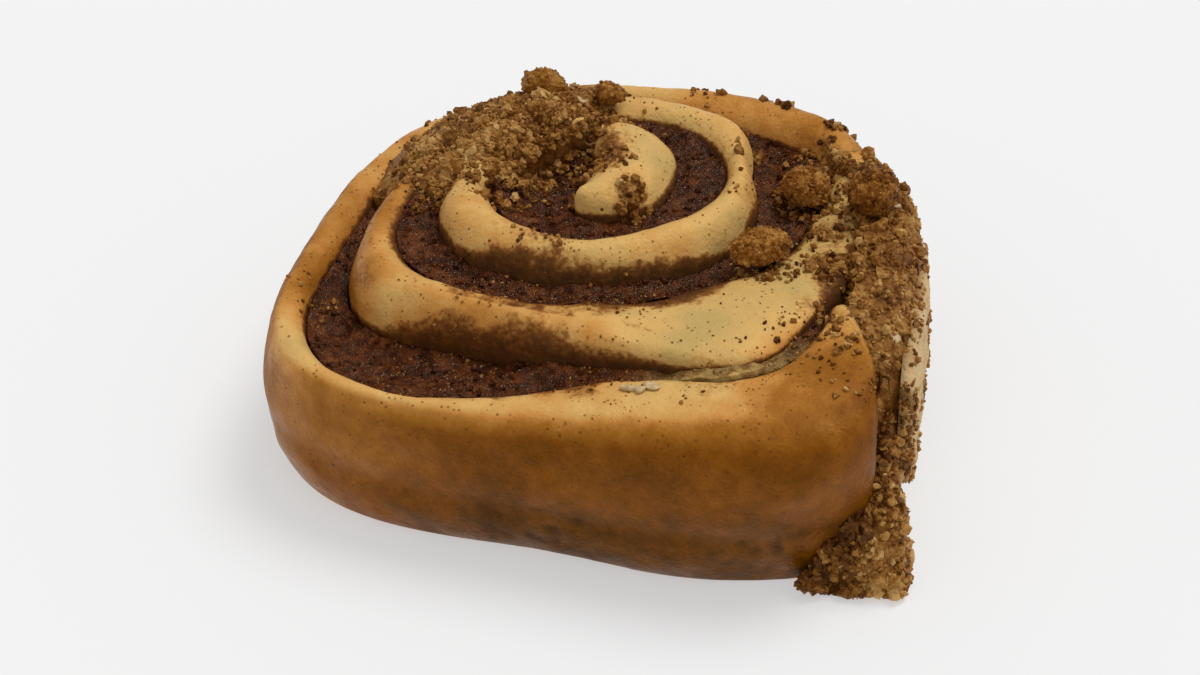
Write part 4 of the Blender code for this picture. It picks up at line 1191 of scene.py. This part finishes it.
def make_bank(material, random):
    """The streusel bank with its grains."""
    core = bank_core()

    def weight(centre, normal):
        x, y, z = centre.T
        outer = (x > BANK_GRAIN_X) | (z > BANK_GRAIN_HEIGHT)
        outer |= np.abs(y - BANK_GRAIN_MIDDLE) > BANK_GRAIN_REACH
        flap = (np.abs(y - FLAP_CENTRE[0]) < FLAP_HALF_LENGTH - FLAP_MARGINS[0]) & (x > FLAP_BARE_X)
        flap &= np.abs(z - FLAP_CENTRE[1]) < FLAP_HALF_HEIGHT - FLAP_MARGINS[1]
        return (outer & ~flap) * (1.0 + TOE_CROWDING * (y < TOE_START))

    points, faces, tones = covered_core(core, BANK_GRAINS, random, BANK_MIDDLE, weight, BANK_TONE)
    piece = make_piece("streusel_bank_grains", points, faces, material, "streusel_bank", {"tone": tones},
                       recalculate=False, smooth=False)
    return core


def make_flap(material):
    """The torn crumb of dough, rough and open-pored."""
    power = FLAP_SQUARENESS
    angles = np.linspace(0.0, 2.0 * math.pi, FLAP_SECTORS, endpoint=False)
    east, up = np.cos(angles), np.sin(angles)
    square = (np.abs(east) ** power + np.abs(up) ** power) ** (-1.0 / power)
    circle = np.stack([east, up, 0.0 * up], 1) * FLAP_RAGGED_REACH
    ragged = 1.0 + FLAP_RAGGEDNESS * field(circle, FLAP_RAGGED_SPACING, 2) - FLAP_RAGGED_INSET
    rings = []
    spots = [(1.0, FLAP_THICKNESS), (1.0, 0.5 * FLAP_THICKNESS)]
    for share in np.linspace(*FLAP_SHARES, FLAP_RINGS):
        spots.append((share, FLAP_FACE_DEPTH + FLAP_EDGE_DEPTH * share ** FLAP_EDGE_POWER))
    for share, depth in spots:
        y = FLAP_CENTRE[0] + FLAP_HALF_LENGTH * share * square * ragged * east
        z = FLAP_CENTRE[1] + FLAP_HALF_HEIGHT * share * square * ragged * up
        slant = FLAP_SLOPE * (y - FLAP_CENTRE[0]) + FLAP_LEAN * share * square * up
        rings.append(np.stack([FLAP_FACE - depth - slant, y, z], 1))
    points = np.array(rings).reshape(-1, 3) - BASE_CENTRE
    front = np.repeat(np.array([depth < FLAP_THICKNESS for _, depth in spots]), FLAP_SECTORS)
    pores = np.minimum(cells(points, FLAP_PORE_SPACING, 6), 1.0)
    relief = FLAP_PORE_DEPTH * (pores - FLAP_PORE_MEAN) + noise(points, FLAP_UNEVEN)
    points[:, 0] += np.where(front, np.minimum(relief, FLAP_RELIEF_MOST), 0.0)
    edge = np.repeat(np.array([share for share, _ in spots]), FLAP_SECTORS)
    crust = smooth_step(edge + noise(points, FLAP_CRUST_UNEVEN), *FLAP_CRUST)
    faces = closed_tube(len(rings), FLAP_SECTORS)
    piece = make_piece("torn_crumb_skin", points, faces, material, "torn_crumb", {"crust": crust})
    return points, faces


def make_lump(material, random, name, centre, half_sizes, turn, cobble, tone):
    """A large piece of streusel with cobbles on it."""
    points, faces = ball(LUMP_SUBDIVISIONS)
    angle = math.radians(turn)
    spin = np.array([[math.cos(angle), -math.sin(angle), 0.0], [math.sin(angle), math.cos(angle), 0.0],
                     [0.0, 0.0, 1.0]])
    shaped = points * (np.array(half_sizes) - LUMP_INSET)
    place = shaped @ spin.T + np.array(centre) - BASE_CENTRE
    bumps = knobs(place, LUMP_COBBLE_SPACING, 2) - 0.5
    fine = knobs(place, LUMP_FINE_SPACING, 3) - LUMP_FINE_MEAN
    relief = LUMP_COBBLE_SHARE * cobble * bumps + LUMP_COBBLE_SHARE * cobble * fine
    relief += noise(place, LUMP_UNEVEN)
    place += (points @ spin.T) * np.minimum(relief, LUMP_RELIEF_MOST)[:, None]
    tones = (tone + noise(place, LUMP_TONES) + LUMP_COBBLE_TONE * bumps).clip(0.0, 1.0)
    count = int(LUMP_GRAINS * cobble)
    chosen = random.integers(len(place), size=count)
    sizes = random.uniform(*LUMP_GRAIN_SIZE, count)
    shades = (tones[chosen] + random.normal(0.0, LUMP_GRAIN_TONE, count)).clip(0.0, 1.0)
    sunk = place[chosen] - LUMP_GRAIN_SINK * sizes[:, None] * points[chosen]
    made = grains(sunk, sizes, shades, 0, random)
    place, faces, tones = join([(place, faces, tones), made])
    piece = make_piece(name + "_skin", place, faces, material, name, {"tone": tones},
                       recalculate=False, smooth=False)


def surface_tree(surfaces):
    """A search tree over surfaces given as points and faces."""
    points, faces = [], []
    for surface_points, surface_faces in surfaces:
        faces += (surface_faces[0] + len(points)).tolist()
        points += surface_points.tolist()
    return BVHTree.FromPolygons(points, faces)


def drop(tree, x, y):
    """The highest point of the surfaces at a place in plan, its normal and its face."""
    place, normal, face, _ = tree.ray_cast(Vector((x, y, DROP_HEIGHT)), Vector((0.0, 0.0, -1.0)))
    return place, normal, face


def clinging(flap, random):
    """Crumbs that cling to the torn crumb of dough, in clusters and along its edge, as rows."""
    points, faces = flap

    def weight(centre, normal):
        _, y, z = centre.T
        edge = np.maximum(np.abs(y - FLAP_CENTRE[0]) / FLAP_HALF_LENGTH,
                          np.abs(z - FLAP_CENTRE[1]) / FLAP_HALF_HEIGHT)
        front = smooth_step(FLAP_CENTRE[0] - y, *CLINGING_FRONT)
        clusters = smooth_step(field(centre, CLINGING_CLUSTER_SPACING, 3), *CLINGING_CLUSTERS)
        clusters *= smooth_step(y, *CLINGING_CLUSTER_REACH)
        return clusters + smooth_step(edge, *CLINGING_EDGE) + CLINGING_FRONT_SHARE * front

    places, _ = spread(points, faces, CLINGING_COUNT, random, weight)
    sizes = random.uniform(*CLINGING_SIZE, CLINGING_COUNT)
    tones = random.normal(*CLINGING_TONE, CLINGING_COUNT).clip(0.0, 1.0)
    places[:, 0] += CLINGING_RISE * sizes
    return np.column_stack([places, sizes, tones])


def make_crumbs(material, tree, flap, random):
    """Loose crumbs on the dough, the filling and the torn crumb."""
    small, large = [], []
    for x, y, radius, count, least, most in CRUMB_PATCHES:
        for _ in range(count):
            angle, distance = random.uniform(0.0, 2.0 * math.pi), radius * math.sqrt(random.uniform())
            size = least + (most - least) * random.uniform() ** 2
            place, normal, _ = drop(tree, x + distance * math.cos(angle), y + distance * math.sin(angle))
            tone = min(max(random.normal(*CRUMB_TONE), 0.0), 1.0)
            if place is None or place.z < CRUMB_LEAST_HEIGHT or normal.z < CRUMB_LEAST_SLOPE:
                continue
            centre = place + normal * size * CRUMB_RISE
            (large if size > CRUMB_LARGE else small).append((*centre, size, tone))
    parts = []
    for rows, subdivisions in ((small, 0), (large, 1), (clinging(flap, random), 0)):
        rows = np.array(rows)
        rows = rows[in_box(rows[:, :3], rows[:, 3])]
        parts.append(grains(rows[:, :3], rows[:, 3], rows[:, 4], subdivisions, random))
    points, faces, tones = join(parts)
    piece = make_piece("loose_crumbs", points, faces, material, None, {"tone": tones},
                       recalculate=False, smooth=False)


def make_sticky(material, filling, random):
    """Dark sticky grains that stand out of the filling."""
    points, faces = filling

    def weight(centre, normal):
        return (np.abs(normal[:, 2]) > STICKY_LEAST_SLOPE) * (centre[:, 2] > TOP_LEAST_HEIGHT)

    places, _ = spread(points, faces, STICKY_COUNT, random, weight)
    sizes = random.uniform(*STICKY_SIZE, STICKY_COUNT)
    centres = places - STICKY_SINK * sizes[:, None]
    wetness = random.uniform(*STICKY_WETNESS, STICKY_COUNT)
    made, faces, wet = grains(centres, sizes, wetness, 1, random)
    values = {"wet": wet, "dough": closed_share(made)}
    piece = make_piece("sticky_grains", made, faces, material, None, values,
                       recalculate=False, smooth=False)


def make_sugar(material, tree, first_face, random):
    """Clear sugar crystals in the filling and streusel, which are the tree's faces from first_face on."""
    centres = []
    for _ in range(SUGAR_COUNT):
        x, y = random.uniform(*SUGAR_REACH_X), random.uniform(*SUGAR_REACH_Y)
        place, normal, face = drop(tree, x, y)
        if place is not None and place.z > TOP_LEAST_HEIGHT and face >= first_face:
            centres.append(place + normal * SUGAR_RISE)
    centres = np.array(centres)
    sizes = random.uniform(*SUGAR_SIZE, len(centres))
    made, faces, _ = grains(centres, sizes, sizes, 0, random)
    piece = make_piece("sugar_crystals", made, faces, material, None, recalculate=False)


def make_flakes(material, tree, random):
    """Pale flakes of dough and oat."""
    parts = []
    for x, y, half_length, half_width, turn in FLAKES:
        points, faces = ball(FLAKE_SUBDIVISIONS)
        place, normal, _ = drop(tree, x, y)
        shaped = points * (half_length, half_width, FLAKE_THICKNESS)
        shaped[:, 2] += FLAKE_CURL * field(shaped + (x, y, 0.0), FLAKE_CURL_SPACING, 2)
        ragged = FLAKE_RAGGEDNESS * field(shaped + (y, x, 0.0), FLAKE_RAGGED_SPACING, 4)
        shaped[:, :2] *= 1.0 + ragged[:, None]
        spin = Matrix.Rotation(math.radians(turn), 3, "Z")
        tilt = Vector((0.0, 0.0, 1.0)).rotation_difference(normal).to_matrix()
        turned = shaped @ np.array(tilt @ spin).T + np.array(place + normal * FLAKE_RISE)
        parts.append((turned, faces, np.full(len(points), random.uniform())))
    points, faces, tones = join(parts)
    piece = make_piece("pale_flakes", points, faces, material, None, {"tone": tones})


class Shader:
    """A material's nodes, added one at a time."""

    def __init__(self, name, **constants):
        self.material = bpy.data.materials.new(name)
        self.material.use_nodes = True
        self.tree = self.material.node_tree
        self.surface = self.tree.nodes["Principled BSDF"]
        self.place = self.tree.nodes.new("ShaderNodeTexCoord").outputs["Object"]
        for key, value in constants.items():
            self.surface.inputs[key.replace("_", " ")].default_value = value

    def add(self, kind, inputs, **settings):
        """A node with its settings, and each input as a value or a link."""
        node = self.tree.nodes.new("ShaderNode" + kind)
        for key, value in settings.items():
            setattr(node, key, value)
        for key, value in inputs.items():
            if isinstance(value, bpy.types.NodeSocket):
                self.tree.links.new(value, node.inputs[key])
            else:
                node.inputs[key].default_value = value
        return node

    def value(self, name):
        """A value that the mesh carries."""
        return self.add("Attribute", {}, attribute_name=name).outputs["Fac"]

    def noise(self, scale, detail=3.0):
        """Noise from 0 to 1."""
        inputs = {"Vector": self.place, "Scale": scale, "Detail": detail}
        return self.add("TexNoise", inputs).outputs["Fac"]

    def spots(self, scale):
        """Distance to the nearest of scattered points."""
        return self.add("TexVoronoi", {"Vector": self.place, "Scale": scale}).outputs["Distance"]

    def math(self, operation, first, second):
        """Arithmetic on two values."""
        return self.add("Math", {0: first, 1: second}, operation=operation).outputs[0]

    def step(self, value, low, high, least=0.0, most=1.0):
        """A value moved smoothly from one range to another."""
        inputs = {"Value": value, "From Min": low, "From Max": high, "To Min": least, "To Max": most}
        return self.add("MapRange", inputs, interpolation_type="SMOOTHSTEP").outputs["Result"]

    def vary(self, value, noise, least, most):
        """A value that noise makes uneven, by an amount from least to most."""
        return self.math("ADD", value, self.step(noise, *NOISE_RANGE, least, most))

    def ramp(self, value, *stops):
        """A colour read from two or more stops of place and colour, in order."""
        node = self.add("ValToRGB", {"Fac": value})
        elements = node.color_ramp.elements
        for index, (place, colour) in enumerate(stops):
            element = elements[index] if index < 2 else elements.new(place)
            element.position = place
            element.color = (*colour, 1.0)
        return node.outputs["Color"]

    def mix(self, share, first, second):
        """Two colours mixed."""
        second = second if isinstance(second, bpy.types.NodeSocket) else (*second, 1.0)
        return self.add("MixRGB", {"Fac": share, "Color1": first, "Color2": second}).outputs["Color"]

    def finish(self, colour, roughness, height, strength, distance):
        """Link colour, roughness and relief to the surface."""
        self.tree.links.new(colour, self.surface.inputs["Base Color"])
        self.tree.links.new(roughness, self.surface.inputs["Roughness"])
        bump = self.add("Bump", {"Height": height, "Strength": strength, "Distance": distance})
        self.tree.links.new(bump.outputs["Normal"], self.surface.inputs["Normal"])
        return self.material


def dough_material():
    """Baked dough: pale where covered, golden on its crests, brown down its sides, with specks."""
    shader = Shader("baked_dough", Subsurface_Weight=0.06, Subsurface_Radius=(1.0, 0.45, 0.18),
                    Subsurface_Scale=0.0012, Specular_IOR_Level=0.24, Specular_Tint=WARM_SHEEN)
    large = shader.noise(95.0, 4.0)
    middle = shader.noise(420.0, 4.0)
    fine = shader.noise(2200.0)
    grain = shader.noise(1300.0)
    # The bake value is browning, with painted light on the outside's left and right and painted shade in the
    # wrinkles.
    bake_and_painted_light = shader.vary(shader.value("bake_and_painted_light"), large, -0.045, 0.045)
    bake_and_painted_light = shader.vary(bake_and_painted_light, middle, -0.035, 0.035)
    bake_and_painted_light = shader.vary(bake_and_painted_light, fine, -0.02, 0.02)
    colour = shader.ramp(bake_and_painted_light, (0.0, (0.60, 0.41, 0.14)), (0.2, (0.78, 0.47, 0.150)),
                         (0.38, (0.66, 0.30, 0.070)), (0.55, (0.41, 0.155, 0.018)),
                         (0.75, (0.235, 0.070, 0.003)), (0.90, (0.105, 0.034, 0.001)),
                         (1.0, (0.045, 0.015, 0.002)))
    coated = shader.value("coat")
    broken = shader.vary(coated, middle, -0.12, 0.12)
    broken = shader.vary(broken, grain, -0.13, 0.13)
    coat = shader.math("MULTIPLY", shader.step(broken, 0.02, 0.62, 0.0, 0.96),
                       shader.step(coated, 0.0, 0.25))
    stain = shader.ramp(broken, (0.15, (0.46, 0.185, 0.036)), (0.45, (0.270, 0.092, 0.017)),
                        (0.75, (0.130, 0.040, 0.009)), (1.0, (0.070, 0.022, 0.007)))
    colour = shader.mix(coat, colour, stain)
    specks = shader.math("MULTIPLY", shader.step(shader.spots(900.0), 0.12, 0.24, 0.7, 0.0),
                         shader.step(shader.noise(260.0, 2.0), 0.40, 0.56))
    colour = shader.mix(specks, colour, (0.105, 0.038, 0.010))
    dots = shader.math("MULTIPLY", shader.step(shader.spots(330.0), 0.07, 0.12, 0.8, 0.0),
                       shader.step(shader.noise(140.0, 2.0), 0.52, 0.62))
    colour = shader.mix(dots, colour, (0.05, 0.018, 0.008))
    roughness = shader.step(large, 0.35, 0.65, 0.26, 0.52)
    height = shader.math("ADD", shader.math("MULTIPLY", fine, 0.5), shader.math("MULTIPLY", middle, 0.9))
    height = shader.math("ADD", height, shader.math("MULTIPLY", grain, 0.6))
    return shader.finish(colour, roughness, height, 0.6, 0.0004)


def filling_material():
    """Sticky cinnamon filling, dark and shiny, and dough with crumbs where the groove closes."""
    shader = Shader("cinnamon_filling", Specular_IOR_Level=0.45, Specular_Tint=PALE_SHEEN)
    middle = shader.noise(700.0, 4.0)
    fine = shader.noise(2600.0)
    shade = shader.vary(shader.math("MULTIPLY", shader.value("wet"), 0.45), middle, 0.0, 0.55)
    colour = shader.ramp(shade, (0.0, (0.024, 0.006, 0.002)), (0.35, (0.050, 0.011, 0.003)),
                         (0.7, (0.110, 0.026, 0.005)), (1.0, (0.185, 0.050, 0.009)))
    closed = shader.value("dough")
    dough = shader.ramp(middle, (0.35, (0.32, 0.160, 0.038)), (0.6, (0.66, 0.43, 0.13)))
    colour = shader.mix(closed, colour, dough)
    roughness = shader.math("MAXIMUM", shader.step(fine, 0.35, 0.65, 0.06, 0.28),
                            shader.math("MULTIPLY", closed, 0.5))
    return shader.finish(colour, roughness, shader.math("ADD", middle, fine), 1.0, 0.0004)


def streusel_material():
    """Crumbly streusel, each grain with its own tone."""
    shader = Shader("streusel", Specular_IOR_Level=0.45, Specular_Tint=WARM_SHEEN, Subsurface_Weight=0.08,
                    Subsurface_Radius=(1.0, 0.45, 0.15), Subsurface_Scale=0.0006)
    middle = shader.noise(900.0, 4.0)
    fine = shader.noise(3200.0)
    tone = shader.vary(shader.value("tone"), middle, -0.14, 0.14)
    tone = shader.vary(tone, fine, -0.10, 0.10)
    colour = shader.ramp(tone, (0.0, (0.070, 0.020, 0.004)), (0.25, (0.170, 0.058, 0.010)),
                         (0.5, (0.33, 0.140, 0.028)), (0.75, (0.47, 0.24, 0.065)),
                         (1.0, (0.60, 0.37, 0.13)))
    roughness = shader.step(middle, *NOISE_RANGE, 0.30, 0.60)
    return shader.finish(colour, roughness, shader.math("ADD", middle, fine), 0.6, 0.0002)


def lump_material():
    """Caramelised streusel lumps, partly shiny."""
    shader = Shader("caramel_lumps", Specular_IOR_Level=0.40, Specular_Tint=WARM_SHEEN)
    middle = shader.noise(800.0, 4.0)
    fine = shader.noise(2800.0)
    tone = shader.vary(shader.value("tone"), middle, -0.16, 0.16)
    colour = shader.ramp(tone, (0.0, (0.08, 0.020, 0.003)), (0.3, (0.23, 0.078, 0.010)),
                         (0.6, (0.38, 0.160, 0.028)), (1.0, (0.52, 0.29, 0.08)))
    roughness = shader.step(middle, *NOISE_RANGE, 0.22, 0.5)
    return shader.finish(colour, roughness, shader.math("ADD", middle, fine), 0.5, 0.0002)


def crumb_material():
    """Torn bread crumb, pale and matte, browned at its edge."""
    shader = Shader("torn_bread", Subsurface_Weight=0.08, Subsurface_Radius=(1.0, 0.6, 0.3),
                    Subsurface_Scale=0.001, Specular_IOR_Level=0.2)
    middle = shader.noise(600.0, 4.0)
    fine = shader.noise(2600.0)
    shade = shader.vary(shader.value("crust"), middle, -0.12, 0.16)
    colour = shader.ramp(shade, (0.0, (0.64, 0.45, 0.23)), (0.4, (0.52, 0.32, 0.13)),
                         (1.0, (0.30, 0.14, 0.038)))
    roughness = shader.step(fine, *NOISE_RANGE, 0.7, 0.9)
    return shader.finish(colour, roughness, shader.math("ADD", middle, fine), 0.6, 0.0003)


def flake_material():
    """Pale dry flakes."""
    shader = Shader("pale_flake", Subsurface_Weight=0.08, Subsurface_Scale=0.001)
    middle = shader.noise(1500.0)
    colour = shader.ramp(middle, (0.3, (0.48, 0.32, 0.13)), (0.7, (0.68, 0.52, 0.28)))
    return shader.finish(colour, shader.step(middle, *NOISE_RANGE, 0.5, 0.7), middle, 0.5, 0.0002)


def sugar_material():
    """Sugar crystals, clear and shiny."""
    shader = Shader("sugar", Transmission_Weight=0.5, IOR=1.5)
    fine = shader.noise(3000.0, 2.0)
    colour = shader.ramp(fine, (0.3, (0.62, 0.46, 0.26)), (0.7, (0.88, 0.80, 0.66)))
    return shader.finish(colour, shader.step(fine, *NOISE_RANGE, 0.08, 0.2), fine, 0.2, 0.0001)


def floor_material():
    """Plain pale floor."""
    shader = Shader("pale_floor", Specular_IOR_Level=0.0, Emission_Strength=0.46)
    soft = shader.noise(6.0, 2.0)
    colour = shader.ramp(soft, (0.0, (0.463, 0.463, 0.463)), (1.0, (0.467, 0.467, 0.467)))
    return shader.finish(colour, shader.step(soft, 0.0, 1.0, 0.9, 0.95), soft, 0.0, 0.0001)


def add_soft_sun(name, toward, power, spread):
    """A wide, even light from far away, given the way towards it."""
    light = bpy.data.lights.new(name, "SUN")
    light.energy = power
    light.angle = spread
    lamp = bpy.data.objects.new(name, light)
    lamp.location = toward
    lamp.rotation_euler = Vector(toward).to_track_quat("Z", "Y").to_euler()
    bpy.context.scene.collection.objects.link(lamp)


def set_stage():
    """Floor, lights, world and camera."""
    mesh = bpy.data.meshes.new("floor")
    corners = [(x * FLOOR_HALF, y * FLOOR_HALF, 0.0) for x, y in ((-1, -1), (1, -1), (1, 1), (-1, 1))]
    mesh.from_pydata(corners, [], [(0, 1, 2, 3)])
    mesh.materials.append(floor_material())
    floor = bpy.data.objects.new("floor", mesh)
    floor.location = (0.0, 0.0, -FLOOR_DROP)
    bpy.context.scene.collection.objects.link(floor)
    add_soft_sun("key", SUN_TOWARD, SUN_POWER, SUN_SPREAD)
    world = bpy.data.worlds.new("soft_studio")
    world.use_nodes = True
    background = world.node_tree.nodes["Background"]
    background.inputs["Color"].default_value = (1.0, 1.0, 1.0, 1.0)
    reflected = world.node_tree.nodes.new("ShaderNodeLightPath").outputs["Is Glossy Ray"]
    strength = world.node_tree.nodes.new("ShaderNodeMapRange")
    strength.inputs["To Min"].default_value = SKY_STRENGTH
    strength.inputs["To Max"].default_value = REFLECTED_SKY_STRENGTH
    world.node_tree.links.new(reflected, strength.inputs["Value"])
    world.node_tree.links.new(strength.outputs["Result"], background.inputs["Strength"])
    bpy.context.scene.world = world
    bpy.context.scene.view_settings.view_transform = "Standard"
    camera = bpy.data.cameras.new("photo_view")
    camera.lens = LENS
    camera.sensor_width = SENSOR_WIDTH
    camera.clip_start = NEAREST_SEEN
    viewer = bpy.data.objects.new("photo_view", camera)
    back = Vector((math.sin(AZIMUTH) * math.cos(ELEVATION), -math.cos(AZIMUTH) * math.cos(ELEVATION),
                   math.sin(ELEVATION)))
    viewer.location = (AIM + back * CAMERA_DISTANCE) * METRE
    viewer.rotation_euler = (-back).to_track_quat("-Z", "Y").to_euler()
    bpy.context.scene.collection.objects.link(viewer)
    bpy.context.scene.camera = viewer


def build():
    """Dress the roll."""
    random = np.random.default_rng(SEED)
    dough = make_dough(dough_material())
    filling_look = filling_material()
    filling = make_filling(filling_look)
    streusel = streusel_material()
    heap = make_heap(streusel, random)
    bank = make_bank(streusel, random)
    flap = make_flap(crumb_material())
    caramel = lump_material()
    for row in LUMPS:
        make_lump(caramel, random, *row)
    tree = surface_tree([dough, filling, heap, bank])
    make_crumbs(streusel, tree, flap, random)
    make_sticky(filling_look, filling, random)
    make_sugar(sugar_material(), tree, len(dough[1][0]), random)
    make_flakes(flake_material(), tree, random)
    set_stage()


build()
